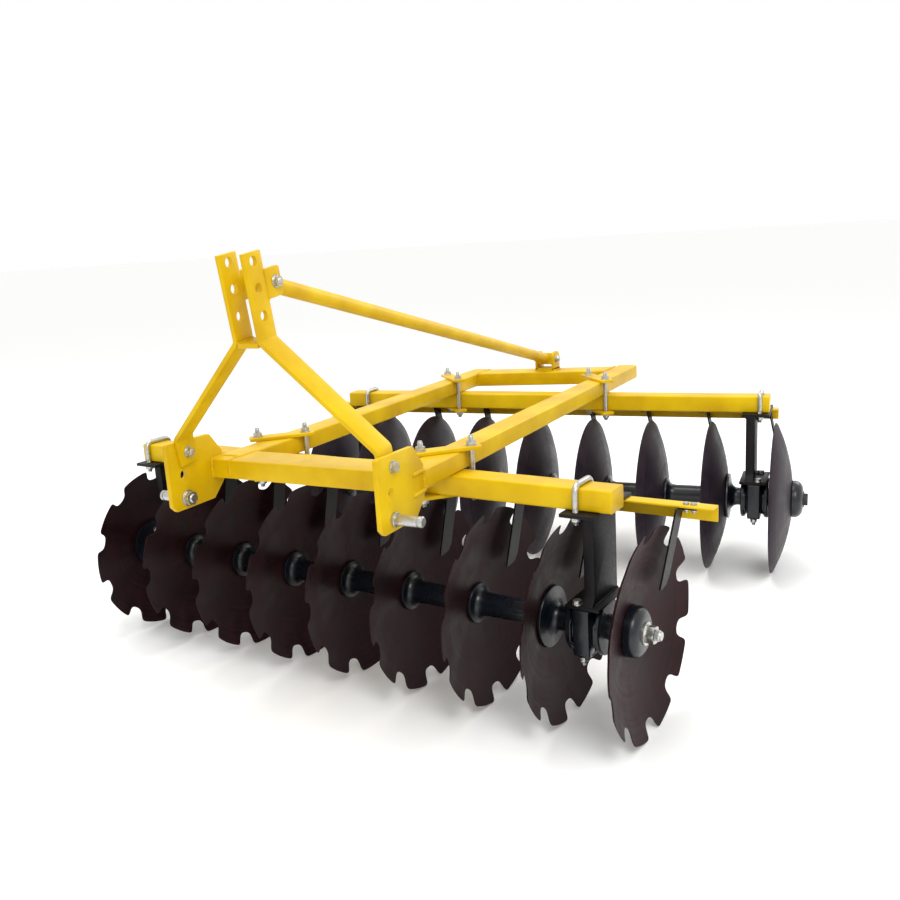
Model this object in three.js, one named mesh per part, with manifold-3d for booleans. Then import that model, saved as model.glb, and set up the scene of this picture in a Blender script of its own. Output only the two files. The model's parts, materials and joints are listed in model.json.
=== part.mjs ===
// A mounted offset disc harrow: two gangs of nine discs under a welded frame with a three-point mast.
// Millimetres, +X to the right, +Y to the rear, +Z up, the discs standing on z = 0.
// The named sizes are laid out from the middle of the front cross beam's front face, and at the end
// the whole harrow is moved so that its origin is under the centre of its bounding box.
import * as THREE from 'three';
import { mergeVertices } from 'three/addons/utils/BufferGeometryUtils.js';
import Module from 'manifold-3d';

const wasm = await Module();
wasm.setup();

// ---- clearances ----
const seat = 0.3; // between faces that touch
const journal = 0.5; // between the spool and the bearing that it turns in
const roundSides = 12; // facets of a shaft, a bearing or a tube
const boltSides = 8;
const arcSegments = 6; // of a hole in a sheet, per half turn

// ---- discs ----
const discRadius = 280;
const discThickness = 5;
const discDish = 60; // from the flat centre to the rim, along the gang's axis
const discFlatRadius = 62;
const discBore = 20;
const discPitch = 230;
const discsPerGang = 9;
const notchesPerDisc = 10;
const notchDepth = 40;
const notchMouth = 72;

// ---- gang shafts ----
const spoolRadius = 33;
const spoolBellRadius = 57;
const spoolBellLength = 42;
const bearingBellRadius = 84;
const bearingBellLength = 38;
const bellEdge = 10;
const endBellRadius = 68;
const endBellLength = 42;
const backBellLength = 38; // on the last disc's bulging side
const shaftHeadLength = 16; // beyond it, in place of a nut
const shaftNutRadius = 25;
const shaftNutLength = 26;
const shaftTipRadius = 15;
const shaftTipLength = 16;

// ---- gang placing ----
const frontGang = {
  x: -89, y: 287, turn: -4.44, rearSide: 1, beamLead: 10, scraperSetback: 118, notched: true,
};
const rearGang = {
  x: 120, y: 1448, turn: 185.5, rearSide: -1, beamLead: 30, scraperSetback: 118, notched: false,
};
const bearingShift = 15; // from the middle of its bay, towards the hollow side of the discs

// ---- gang beams, arms and bearings ----
const gangBeamHeight = 60;
const gangBeamDepth = 80;
const gangBeamStart = 44.5; // past the bearing at the discs' back side
const gangBeamEnd = 80.5; // past the bearing at their hollow side
const gangBeamClearance = 43; // above the discs' rims
const plateThickness = 10;
const armThickness = 30;
const armShift = 17; // the bar stands this far beside the bearing's middle
const uBoltShift = 13; // the U-bolt stands this far the other way
const armLead = 52.5; // from the gang's axis, away from the scrapers
const armReach = 92; // from the gang's axis, towards the scrapers
const armPlateWidth = 96;
const armPlateMargin = 18;
const bearingRadius = 62;
const bearingFlangeRadius = 75;
const bearingFlange = 14;
const bearingLength = 96;
const bearingBlockWidth = 46;
const bearingBlockDepth = 156;
const bearingBlockHeight = 132;

// ---- fasteners ----
const boltRadius = 8;
const nutRadius = 14;
const nutHeight = 13;
const boltTip = 10;
const uBoltClearance = 0.6;
const uBoltBend = 6;

// ---- scrapers ----
const scraperBarSize = 45;
const scraperBarWall = 5;
const scraperBladeWidth = 60;
const scraperBladeThickness = 5;
const scraperTop = 92; // from the disc's flat centre, at the bar
const scraperTip = 46; // from the disc's flat centre, at the tip
const scraperTipRise = 77; // above the gang's axis

// ---- main frame ----
const sideBeamX = 305;
const sideBeamWidth = 80;
const beamHeight = 55;
const leftBeamEnd = 1722;
const rightBeamEnd = 1890;
const crossBeamDepth = 120;
const rearCrossY = 1656;
const rearCrossTurn = 14;

// ---- hitch ----
const hitchPlateThickness = 14;
const hitchPlateReach = 165; // ahead of the cross beam
const hitchPlateBack = 50;
const hitchPlateDrop = 61.3; // below the underside of the side beams, as every height here is from it
const hitchPlateRise = 131.7;
const lowerPinY = -106;
const lowerPinDrop = 31.3;
const lowerPinRadius = 14;
const lowerPinLength = 82;
const spareHole = { y: -111, rise: 36.7, radius: 13 };

// ---- mast ----
const mastGap = 64;
const mastThickness = 12;
const mastWidth = 65;
const mastLean = 8.5;
const mastFootY = -96;
const mastFootHeight = 98.7; // above the underside of the side beams
const mastFootDrop = 32;
const mastFootRise = 42;
const mastBendHeight = 315;
const mastTopHeight = 534;
const topLinkHoles = [512, 447, 379];
const topLinkHoleRadius = 13;
const earHeight = 74;
const earReach = 58;
const earCentre = 449;
const baseBarHeight = 305;
const baseBarThickness = 12;

// ---- rear brace ----
const braceRadius = 21;
const braceLug = 50;
const braceLugWall = 2; // past the tube
const bracketHeight = 78;
const bracketWall = 10;
const bracketLength = 70;
const bracketY = 1700;
const bracePinHeight = 46;

// ---- derived places ----
const discFacets = 2 * notchesPerDisc;
const discMiddleRadius = (discFlatRadius + discRadius) / 2;
const gangHalf = (discsPerGang - 1) * discPitch / 2;
const gangBeamBottom = 2 * discRadius + gangBeamClearance;
const scraperTipHeight = discRadius + scraperTipRise;
const deck = gangBeamBottom + gangBeamHeight; // where the side beams lie
const sideBeamBottom = deck + seat;
const sideBeamTop = sideBeamBottom + beamHeight;
const sideBeamInner = sideBeamX - sideBeamWidth / 2;
const sideBeamOuter = sideBeamX + sideBeamWidth / 2;
const hitchPlateBottom = sideBeamBottom - hitchPlateDrop;
const hitchPlateTop = sideBeamBottom + hitchPlateRise;
const lowerPinZ = sideBeamBottom - lowerPinDrop;
const mastFootZ = sideBeamBottom + mastFootHeight;
const armPlateTop = gangBeamBottom - seat;
const armPlateBottom = armPlateTop - plateThickness;
const plateInner = sideBeamOuter - hitchPlateThickness;
const boltHole = (boltRadius + seat) / Math.cos(Math.PI / boltSides);
const uBoltOffset = gangBeamDepth / 2 + boltRadius + uBoltClearance;
const bearingBore = (spoolRadius + journal) / Math.cos(Math.PI / roundSides);
const bracePinY = mastWidth / 2 + earReach - 22; // from the mast's middle, in the mast's own plane

const toRadians = THREE.MathUtils.degToRad;

// ---- materials ----
const yellow = new THREE.MeshStandardMaterial({ color: 0xe8b40c, roughness: 0.45, metalness: 0.1 });
const black = new THREE.MeshStandardMaterial({ color: 0x16181c, roughness: 0.4, metalness: 0.1 });
const discPaint = new THREE.MeshStandardMaterial({ color: 0x3a2f33, roughness: 0.35, metalness: 0.3 });
const zinc = new THREE.MeshStandardMaterial({ color: 0xb9b8b2, roughness: 0.35, metalness: 0.9 });

// ---- solids ----
function toManifold(geometry) {
  const bare = geometry.clone();
  bare.deleteAttribute('normal');
  bare.deleteAttribute('uv');
  const merged = mergeVertices(bare, 1e-4);
  const vertProperties = new Float32Array(merged.attributes.position.array);
  const triVerts = new Uint32Array(merged.index.array);
  return new wasm.Manifold(new wasm.Mesh({ numProp: 3, vertProperties, triVerts }));
}

function toGeometry(solid) {
  const mesh = solid.getMesh();
  const geometry = new THREE.BufferGeometry();
  geometry.setAttribute('position', new THREE.BufferAttribute(new Float32Array(mesh.vertProperties), 3));
  geometry.setIndex(new THREE.BufferAttribute(new Uint32Array(mesh.triVerts), 1));
  geometry.computeVertexNormals();
  return geometry;
}

function join(...parts) {
  return toGeometry(wasm.Manifold.union(parts.map(toManifold)));
}

function cut(body, ...tools) {
  return toGeometry(toManifold(body).subtract(wasm.Manifold.union(tools.map(toManifold))));
}

function box([x0, x1], [y0, y1], [z0, z1]) {
  const geometry = new THREE.BoxGeometry(x1 - x0, y1 - y0, z1 - z0);
  return geometry.translate((x0 + x1) / 2, (y0 + y1) / 2, (z0 + z1) / 2);
}

function polygon(points) {
  return new THREE.Shape(points.map(([x, y]) => new THREE.Vector2(x, y)));
}

// The hole's facets lie outside the radius, so a bar of that radius passes.
function circleHole(shape, x, y, radius) {
  const hole = new THREE.Path();
  hole.absarc(x, y, radius / Math.cos(Math.PI / (2 * arcSegments)), 0, 2 * Math.PI, true);
  shape.holes.push(hole);
}

// A plan outline in x and y, raised from z0 to z1.
function slab(shape, z0, z1) {
  const geometry = new THREE.ExtrudeGeometry(shape, { depth: z1 - z0, bevelEnabled: false });
  return geometry.translate(0, 0, z0);
}

// An outline in y and z, thickened from x0 to x1.
function sheetAlongX(shape, x0, x1) {
  const options = { depth: x1 - x0, bevelEnabled: false, curveSegments: arcSegments };
  const geometry = new THREE.ExtrudeGeometry(shape, options);
  geometry.rotateX(Math.PI / 2);
  geometry.rotateZ(Math.PI / 2);
  return geometry.translate(x0, 0, 0);
}

function rodAlongX(radius, x0, x1, y, z, sides = boltSides) {
  const geometry = new THREE.CylinderGeometry(radius, radius, x1 - x0, sides);
  geometry.rotateZ(-Math.PI / 2);
  return geometry.translate((x0 + x1) / 2, y, z);
}

function rodAlongZ(radius, z0, z1, x, y, sides = boltSides) {
  const geometry = new THREE.CylinderGeometry(radius, radius, z1 - z0, sides);
  geometry.rotateX(Math.PI / 2);
  return geometry.translate(x, y, (z0 + z1) / 2);
}

// A round bar along a path of [y, z] corners, all at one x.
function bentRod(radius, x, path, sides = boltSides) {
  const direction = (from, to) => new THREE.Vector2(to[0] - from[0], to[1] - from[1]).normalize();
  const positions = [];
  path.forEach(([y, z], corner) => {
    const into = corner > 0 ? direction(path[corner - 1], path[corner]) : null;
    const out = corner < path.length - 1 ? direction(path[corner], path[corner + 1]) : null;
    const along = (into ?? out).clone().add(out ?? into).normalize();
    const stretch = 1 / along.dot(into ?? out);
    for (let side = 0; side < sides; side++) {
      const angle = (side + 0.5) * 2 * Math.PI / sides;
      const across = radius * stretch * Math.sin(angle);
      positions.push(x + radius * Math.cos(angle), y - along.y * across, z + along.x * across);
    }
  });
  const faces = [];
  const last = (path.length - 1) * sides;
  for (let side = 0; side < sides; side++) {
    const next = (side + 1) % sides;
    for (let ring = 0; ring < last; ring += sides) {
      faces.push(ring + side, ring + sides + side, ring + sides + next);
      faces.push(ring + side, ring + sides + next, ring + next);
    }
    if (side > 0 && next > 0) faces.push(0, side, next, last, last + next, last + side);
  }
  const geometry = new THREE.BufferGeometry();
  geometry.setAttribute('position', new THREE.Float32BufferAttribute(positions, 3));
  geometry.setIndex(faces);
  return geometry;
}

// A profile of [along, radius] pairs, turned about the X axis.
function turnedAlongX(profile, sides) {
  const points = profile.map(([along, radius]) => new THREE.Vector2(radius, along));
  const geometry = new THREE.LatheGeometry(points, sides);
  return geometry.rotateZ(-Math.PI / 2);
}

function part(group, name, geometry, material) {
  const mesh = new THREE.Mesh(geometry, material);
  mesh.name = name;
  group.add(mesh);
  return mesh;
}

// ---- discs ----
// How far the disc's back lies from its flat centre at a radius, on the sphere that passes the rim.
function dishAt(radius) {
  if (radius <= discFlatRadius) return 0;
  const span = discRadius ** 2 - discFlatRadius ** 2;
  const centre = (span + discDish ** 2) / (2 * discDish);
  const sphere = Math.hypot(centre, discFlatRadius);
  return centre - Math.sqrt(sphere ** 2 - radius ** 2);
}

// The deepest point of the mesh's flat facets at a radius, for what has to clear the hollow.
function facetDishAt(radius) {
  const corner = radius / Math.cos(Math.PI / discFacets);
  const share = (corner - discFlatRadius) / (discMiddleRadius - discFlatRadius);
  return Math.max(0, share) * dishAt(discMiddleRadius);
}

// The rim's radius over one notch pitch, as [share of the pitch, radius] pairs from notch to notch.
function notchedRim() {
  const mouth = Math.asin(notchMouth / 2 / discRadius) / (2 * Math.PI / notchesPerDisc);
  const floor = discRadius - notchDepth;
  const wall = discRadius - notchDepth * 0.75;
  return [[0, floor], [mouth * 0.72, wall], [mouth, discRadius], [0.5, discRadius],
    [1 - mouth, discRadius], [1 - mouth * 0.72, wall]];
}

function plainRim() {
  return [[0, discRadius], [0.25, discRadius], [0.5, discRadius], [0.75, discRadius]];
}

// The hollow of a disc faces +X and its flat centre's back lies at x = 0.
function dishedDisc(rim, phase) {
  const inner = discFacets;
  const perStep = rim.length / 2;
  const pitch = 2 * Math.PI / notchesPerDisc;
  const positions = [];
  const rings = [];
  const addRing = (samples, lift) => {
    rings.push({ start: positions.length / 3, count: samples.length });
    for (const [angle, radius] of samples) {
      positions.push(dishAt(radius) + lift, radius * Math.sin(angle), -radius * Math.cos(angle));
    }
  };
  const even = (radius) => Array.from({ length: inner }, (_, k) => [phase + k * pitch / 2, radius]);
  const rimSamples = [];
  for (let notch = 0; notch < notchesPerDisc; notch++) {
    for (const [share, radius] of rim) {
      rimSamples.push([phase + (notch + share) * pitch, radius]);
    }
  }
  for (const lift of [0, discThickness]) {
    addRing(even(discBore), lift);
    addRing(even(discFlatRadius), lift);
    addRing(even(discMiddleRadius), lift);
    addRing(rimSamples, lift);
  }
  const faces = [];
  const at = (ring, k) => rings[ring].start + ((k + rings[ring].count) % rings[ring].count);
  const face = (a, b, c, flip) => faces.push(...(flip ? [a, c, b] : [a, b, c]));
  for (const back of [true, false]) {
    const first = back ? 0 : 4;
    for (let k = 0; k < inner; k++) {
      for (const ring of [first, first + 1]) {
        face(at(ring, k), at(ring, k + 1), at(ring + 1, k + 1), !back);
        face(at(ring, k), at(ring + 1, k + 1), at(ring + 1, k), !back);
      }
      const half = Math.floor(perStep / 2);
      for (let step = 0; step < perStep; step++) {
        const pivot = at(first + 2, step < half ? k : k + 1);
        const outer = k * perStep + step;
        face(pivot, at(first + 3, outer + 1), at(first + 3, outer), !back);
        if (step === half) face(at(first + 2, k), pivot, at(first + 3, outer), !back);
      }
    }
  }
  for (let k = 0; k < inner; k++) {
    face(at(0, k), at(4, k + 1), at(0, k + 1), false);
    face(at(0, k), at(4, k), at(4, k + 1), false);
  }
  for (let k = 0; k < rimSamples.length; k++) {
    face(at(3, k), at(3, k + 1), at(7, k + 1), false);
    face(at(3, k), at(7, k + 1), at(7, k), false);
  }
  const geometry = new THREE.BufferGeometry();
  geometry.setAttribute('position', new THREE.Float32BufferAttribute(positions, 3));
  geometry.setIndex(faces);
  geometry.computeVertexNormals();
  return geometry;
}

// ---- gangs ----
const discAt = (index) => index * discPitch - gangHalf;
const bearingBays = [0, discsPerGang - 2];
const bearingAt = (bay) => discAt(bay) + discPitch / 2 + bearingShift;

// The bell on a disc's hollow side seats on the flat centre and clears the dish round it.
function hollowBell(face, radius) {
  const flat = Math.min(radius, discFlatRadius);
  const clear = face + facetDishAt(radius) + seat;
  return [[face, flat], [clear, radius], [clear + bellEdge, radius]];
}

// The discs' centres slip over the shaft, and the spools between them are cast with bells.
function gangShaft() {
  const neck = discBore - seat;
  const last = discAt(discsPerGang - 1);
  const start = discAt(0) - seat;
  const profile = [
    [start - backBellLength - shaftHeadLength, 0],
    [start - backBellLength - shaftHeadLength, shaftNutRadius],
    [start - backBellLength, shaftNutRadius],
    [start - backBellLength, endBellRadius * 0.45],
    [start - backBellLength * 0.3, endBellRadius],
    [start, endBellRadius],
  ];
  for (let index = 0; index < discsPerGang; index++) {
    const back = discAt(index) - seat;
    const front = discAt(index) + discThickness + seat;
    profile.push([back, neck], [front, neck]);
    if (index === discsPerGang - 1) continue;
    const bearing = bearingBays.includes(index);
    const bell = bearing ? bearingBellRadius : spoolBellRadius;
    const length = bearing ? bearingBellLength : spoolBellLength;
    const next = discAt(index + 1) - seat;
    profile.push(...hollowBell(front, bell), [front + length, spoolRadius]);
    profile.push([next - length, spoolRadius], [next - bellEdge, bell], [next, bell]);
  }
  const end = last + discThickness + seat;
  profile.push(
    ...hollowBell(end, endBellRadius),
    [end + endBellLength * 0.55, endBellRadius],
    [end + endBellLength, endBellRadius * 0.45],
    [end + endBellLength, shaftNutRadius],
    [end + endBellLength + shaftNutLength, shaftNutRadius],
    [end + endBellLength + shaftNutLength, shaftTipRadius],
    [end + endBellLength + shaftNutLength + shaftTipLength, shaftTipRadius],
    [end + endBellLength + shaftNutLength + shaftTipLength, 0],
  );
  return turnedAlongX(profile, roundSides);
}

const span = (from, to) => [Math.min(from, to), Math.max(from, to)];

// The flat bar that hangs from the gang beam, its head plate and the bearing round the spool.
// The bearing is turned half a facet, so its flats face the spool's corners.
function bearingArm(gang, at) {
  const beamSide = gangBeamDepth / 2 + boltRadius * 2 + uBoltClearance + armPlateMargin;
  const scraperEdge = gang.rearSide * (gang.scraperSetback + scraperBarSize);
  const plateFrom = Math.min(-gang.beamLead - beamSide, scraperEdge);
  const plateTo = Math.max(-gang.beamLead + beamSide, scraperEdge);
  const plate = box([at - armPlateWidth / 2, at + armPlateWidth / 2], [plateFrom, plateTo],
    [armPlateBottom, armPlateTop]);
  const arm = at + armShift;
  const blade = box([arm - armThickness / 2, arm + armThickness / 2],
    span(-gang.rearSide * armLead, gang.rearSide * armReach),
    [discRadius + bearingRadius * 0.9, armPlateBottom + plateThickness / 2]);
  const half = bearingLength / 2;
  const ring = turnedAlongX([
    [at - half, bearingBore], [at - half, bearingFlangeRadius],
    [at - half + bearingFlange, bearingFlangeRadius], [at - half + bearingFlange, bearingRadius],
    [at + half - bearingFlange, bearingRadius], [at + half - bearingFlange, bearingFlangeRadius],
    [at + half, bearingFlangeRadius], [at + half, bearingBore], [at - half, bearingBore],
  ], roundSides).rotateX(Math.PI / roundSides).translate(0, 0, discRadius);
  const block = cut(
    box([at - bearingBlockWidth / 2, at + bearingBlockWidth / 2],
      [-bearingBlockDepth / 2, bearingBlockDepth / 2],
      [discRadius - bearingBlockHeight / 2, discRadius + bearingBlockHeight / 2]),
    rodAlongX(bearingRadius * 0.9, at - half, at + half, 0, discRadius, roundSides),
  );
  const holes = [-1, 1].map((side) => rodAlongZ(boltHole, armPlateBottom - 1, armPlateTop + 1,
    at - uBoltShift, -gang.beamLead + side * uBoltOffset));
  return cut(join(plate, blade, ring, block), ...holes);
}

// A round bar bent over the gang beam, with a nut under each leg.
function uBolt(gang, at) {
  const bottom = armPlateBottom - nutHeight - boltTip;
  const top = deck + uBoltClearance + boltRadius;
  const left = -gang.beamLead - uBoltOffset;
  const right = -gang.beamLead + uBoltOffset;
  const bend = uBoltBend;
  const bar = bentRod(boltRadius, at, [[left, bottom], [left, top - bend], [left + bend, top],
    [right - bend, top], [right, top - bend], [right, bottom]]);
  const nuts = [left, right].map((leg) => rodAlongZ(nutRadius, armPlateBottom - seat - nutHeight,
    armPlateBottom - seat, at, leg, 6));
  return join(bar, ...nuts);
}

// An angle bar behind the gang, with one blade reaching into the hollow of each disc.
function scraperBar(gang) {
  const top = armPlateBottom - seat;
  const near = gang.rearSide * gang.scraperSetback;
  const start = discAt(0) + scraperTop - scraperBladeWidth / 2;
  const end = discAt(discsPerGang - 1) + scraperTop + scraperBladeWidth * 1.5;
  const bladeTop = top - scraperBarWall / 2;
  const far = near + gang.rearSide * scraperBarSize;
  const bladeFar = far - gang.rearSide * scraperBarWall / 2;
  const shelf = box([start, end], span(near, far), [top - scraperBarWall, top]);
  const web = box([start, end], span(far - gang.rearSide * scraperBarWall, far),
    [top - scraperBarSize, top]);
  const rise = bladeTop - scraperTipHeight;
  const tilt = Math.atan2(scraperTop - scraperTip, rise);
  const length = Math.hypot(rise, scraperTop - scraperTip);
  const blades = [];
  for (let index = 0; index < discsPerGang; index++) {
    const blade = box([-scraperBladeThickness / 2, scraperBladeThickness / 2],
      span(bladeFar, bladeFar - gang.rearSide * scraperBladeWidth), [-length, 0]);
    blade.rotateY(tilt);
    blades.push(blade.translate(discAt(index) + scraperTop, 0, bladeTop));
  }
  return join(shelf, web, ...blades);
}

function buildGang(name, gang) {
  const group = new THREE.Group();
  group.position.set(gang.x, gang.y, 0);
  group.rotation.z = toRadians(gang.turn);
  const axle = new THREE.Group();
  axle.position.z = discRadius;
  group.add(axle);
  part(axle, `${name}_gang_shaft`, gangShaft(), black);
  const toothDown = [1, 2, 3, 4]; // the discs that a square bore puts half a notch on
  for (let index = 0; index < discsPerGang; index++) {
    const phase = toothDown.includes(index) ? Math.PI / notchesPerDisc : 0;
    const rim = gang.notched ? notchedRim() : plainRim();
    const disc = dishedDisc(rim, phase);
    part(axle, `${name}_disc_${index + 1}`, disc.translate(discAt(index), 0, 0), discPaint);
  }
  const [firstBearing, lastBearing] = bearingBays.map(bearingAt);
  const beam = box([firstBearing - gangBeamStart, lastBearing + gangBeamEnd],
    [-gang.beamLead - gangBeamDepth / 2, -gang.beamLead + gangBeamDepth / 2], [gangBeamBottom, deck]);
  part(group, `${name}_gang_beam`, beam, yellow);
  bearingBays.forEach((bay, number) => {
    part(group, `${name}_bearing_arm_${number + 1}`, bearingArm(gang, bearingAt(bay)), black);
    part(group, `${name}_u_bolt_${number + 1}`, uBolt(gang, bearingAt(bay) - uBoltShift), zinc);
  });
  part(group, `${name}_scraper_bar`, scraperBar(gang), yellow);
  return group;
}

// ---- main frame ----
function sideBeam(side, from, to) {
  const x = [side * sideBeamInner, side * sideBeamOuter].sort((a, b) => a - b);
  return box(x, [from, to], [sideBeamBottom, sideBeamTop]);
}

// The front beam fills the width between the hitch plates, and is notched round the side beams.
function frontCrossBeam() {
  const wide = plateInner - seat;
  const narrow = sideBeamInner - seat;
  const shape = polygon([[-wide, 0], [wide, 0], [wide, hitchPlateBack], [narrow, hitchPlateBack],
    [narrow, crossBeamDepth], [-narrow, crossBeamDepth], [-narrow, hitchPlateBack], [-wide, hitchPlateBack]]);
  return slab(shape, sideBeamBottom, sideBeamTop);
}

function rearCrossBeam() {
  const half = sideBeamInner - seat;
  const rise = half * Math.tan(toRadians(rearCrossTurn));
  const depth = crossBeamDepth / Math.cos(toRadians(rearCrossTurn));
  const shape = polygon([[-half, rearCrossY - rise], [half, rearCrossY + rise],
    [half, rearCrossY + rise + depth], [-half, rearCrossY - rise + depth]]);
  return slab(shape, sideBeamBottom, sideBeamTop);
}

// Two plates and two long bolts squeeze a side beam on a gang beam, bolts at opposite corners.
function beamClamp(side, gang) {
  const front = gang.rearSide > 0;
  const turn = toRadians(front ? gang.turn : gang.turn - 180);
  const lead = front ? -gang.beamLead : gang.beamLead;
  const x = side * sideBeamX;
  const y = gang.y + (x - gang.x) * Math.tan(turn) + lead / Math.cos(turn);
  const offX = sideBeamWidth / 2 + boltRadius + 4;
  const offY = (front ? 1 : -1) * (gangBeamDepth / 2 + boltRadius + 4);
  const reach = Math.hypot(offX, offY) + nutRadius + 12;
  const makePlate = (z0) => {
    const plate = box([-reach, reach], [-25, 25], [z0, z0 + plateThickness]);
    return plate.rotateZ(Math.atan2(offY, offX)).translate(x, y, 0);
  };
  const topPlate = makePlate(sideBeamTop + seat);
  const bottomPlate = makePlate(armPlateBottom);
  const nutTop = sideBeamTop + seat + plateThickness + nutHeight;
  const nutBottom = armPlateBottom - nutHeight;
  const pieces = [topPlate, bottomPlate];
  for (const end of [-1, 1]) {
    const bx = x + end * offX;
    const by = y + end * offY;
    pieces.push(rodAlongZ(boltRadius, nutBottom - boltTip, nutTop + boltTip, bx, by));
    pieces.push(rodAlongZ(nutRadius, nutTop - nutHeight - 1, nutTop, bx, by, 6));
    pieces.push(rodAlongZ(nutRadius, nutBottom, armPlateBottom + 1, bx, by, 6));
  }
  return join(...pieces);
}

// ---- hitch ----
function hitchPlate(side) {
  const shape = polygon([
    [-hitchPlateReach, hitchPlateTop], [-hitchPlateReach, hitchPlateBottom + 16],
    [-hitchPlateReach + 16, hitchPlateBottom], [0, hitchPlateBottom],
    [hitchPlateBack - 4, hitchPlateBottom + 44], [hitchPlateBack, hitchPlateTop - 62],
    [5, hitchPlateTop - 4],
  ]);
  circleHole(shape, spareHole.y, sideBeamBottom + spareHole.rise, spareHole.radius);
  circleHole(shape, lowerPinY, lowerPinZ, lowerPinRadius + seat);
  circleHole(shape, mastFootY, mastFootZ, boltRadius + seat);
  const x = side > 0 ? plateInner : -sideBeamOuter;
  return sheetAlongX(shape, x, x + hitchPlateThickness);
}

function lowerPin(side) {
  const outer = sideBeamOuter;
  const pieces = [
    rodAlongX(lowerPinRadius, plateInner - 22, outer + lowerPinLength, lowerPinY, lowerPinZ),
    rodAlongX(lowerPinRadius + 7, plateInner - seat - 18, plateInner - seat, lowerPinY, lowerPinZ, 6),
    rodAlongX(lowerPinRadius + 5, outer + seat, outer + seat + 8, lowerPinY, lowerPinZ),
  ];
  const pin = join(...pieces);
  return side > 0 ? pin : mirrored(pin);
}

function mirrored(geometry) {
  return toGeometry(toManifold(geometry).mirror([1, 0, 0]));
}

// ---- mast ----
// The bent flat bar of one side: foot on the hitch plate, slope, upright. Its plane leans forward.
function mastBar(side) {
  const inner = mastGap / 2;
  const outer = inner + mastThickness;
  const footOuter = plateInner - seat;
  const footInner = footOuter - mastThickness;
  const slope = Math.atan2(mastBendHeight - mastFootRise, footInner - inner);
  const slip = mastThickness * Math.tan((Math.PI / 2 - slope) / 2);
  const shape = polygon([
    [footInner, -mastFootDrop], [footOuter, -mastFootDrop], [footOuter, mastFootRise + slip],
    [outer, mastBendHeight + slip], [outer, mastTopHeight], [inner, mastTopHeight],
    [inner, mastBendHeight], [footInner, mastFootRise],
  ]);
  const bar = new THREE.ExtrudeGeometry(shape, { depth: mastWidth, bevelEnabled: false });
  bar.rotateX(Math.PI / 2).translate(0, mastWidth / 2, 0);
  const ear = box([inner, outer], [mastWidth / 2 - 1, mastWidth / 2 + earReach],
    [earCentre - earHeight / 2, earCentre + earHeight / 2]);
  const holes = topLinkHoles.map((height) => rodAlongX(topLinkHoleRadius, inner - 1, outer + 1, 0, height));
  holes.push(rodAlongX(boltHole, inner - 1, outer + 1, bracePinY, earCentre));
  holes.push(rodAlongX(boltHole, footInner - 1, footOuter + 1, 0, 0));
  const leg = leanForward(cut(join(bar, ear), ...holes));
  return side > 0 ? leg : mirrored(leg);
}

function leanForward(geometry) {
  return geometry.rotateX(toRadians(mastLean)).translate(0, mastFootY, mastFootZ);
}

function mastPoint(y, z) {
  const point = new THREE.Vector3(0, y, z);
  point.applyAxisAngle(new THREE.Vector3(1, 0, 0), toRadians(mastLean));
  return point.add(new THREE.Vector3(0, mastFootY, mastFootZ));
}

function mastBaseBar() {
  const half = mastGap / 2 - seat;
  return leanForward(box([-half, half], [-mastWidth / 2, mastWidth / 2],
    [baseBarHeight, baseBarHeight + baseBarThickness]));
}

function mastFootBolt(side) {
  const outer = sideBeamOuter;
  const foot = plateInner - seat - mastThickness;
  const pieces = [
    rodAlongX(boltRadius, foot - nutHeight - 4, outer + nutHeight - 2, mastFootY, mastFootZ),
    rodAlongX(nutRadius, foot - seat - nutHeight, foot - seat, mastFootY, mastFootZ, 6),
    rodAlongX(nutRadius, outer + seat, outer + nutHeight, mastFootY, mastFootZ, 6),
  ];
  const bolt = join(...pieces);
  return side > 0 ? bolt : mirrored(bolt);
}

// ---- rear brace ----
const bracketTop = sideBeamTop + seat + bracketHeight;
const rearPin = new THREE.Vector3(0, bracketY + bracketLength * 0.45, sideBeamTop + seat + bracePinHeight);
const frontPin = mastPoint(bracePinY, earCentre);

// The tube's two ends are forged lugs, pinned between the mast's ears and in the rear bracket.
function rearBrace() {
  const run = rearPin.clone().sub(frontPin);
  const length = run.length();
  const tilt = Math.atan2(run.z, run.y);
  const lug = mastGap / 2 - seat;
  const tube = new THREE.CylinderGeometry(braceRadius, braceRadius, length - braceLug, 16);
  tube.translate(0, length / 2, 0);
  const makeLug = (y) => box([-lug, lug], [y - braceLug / 2, y + braceLug / 2],
    [-braceRadius - braceLugWall, braceRadius + braceLugWall]);
  const holes = [0, length].map((y) => rodAlongX(boltHole, -lug - 1, lug + 1, y, 0));
  const brace = cut(join(tube, makeLug(0), makeLug(length)), ...holes);
  return brace.rotateX(tilt).translate(0, frontPin.y, frontPin.z);
}

function pinThrough(point, halfWidth) {
  return join(
    rodAlongX(boltRadius, -halfWidth - nutHeight - 4, halfWidth + nutHeight + 4, point.y, point.z),
    rodAlongX(nutRadius, halfWidth + seat, halfWidth + seat + nutHeight, point.y, point.z, 6),
    rodAlongX(nutRadius, -halfWidth - seat - nutHeight, -halfWidth - seat, point.y, point.z, 6),
  );
}

function braceBracket() {
  const inner = mastGap / 2;
  const outer = inner + bracketWall;
  const bottom = sideBeamTop + seat;
  const y = [bracketY, bracketY + bracketLength];
  const floor = box([-outer, outer], y, [bottom, bottom + bracketWall]);
  const left = box([-outer, -inner], y, [bottom, bracketTop]);
  const right = box([inner, outer], y, [bottom, bracketTop]);
  const hole = rodAlongX(boltHole, -outer - 1, outer + 1, rearPin.y, rearPin.z);
  return cut(join(floor, left, right), hole);
}

// ---- the harrow ----
const harrow = new THREE.Group();
harrow.add(buildGang('front', frontGang));
harrow.add(buildGang('rear', rearGang));

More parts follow.
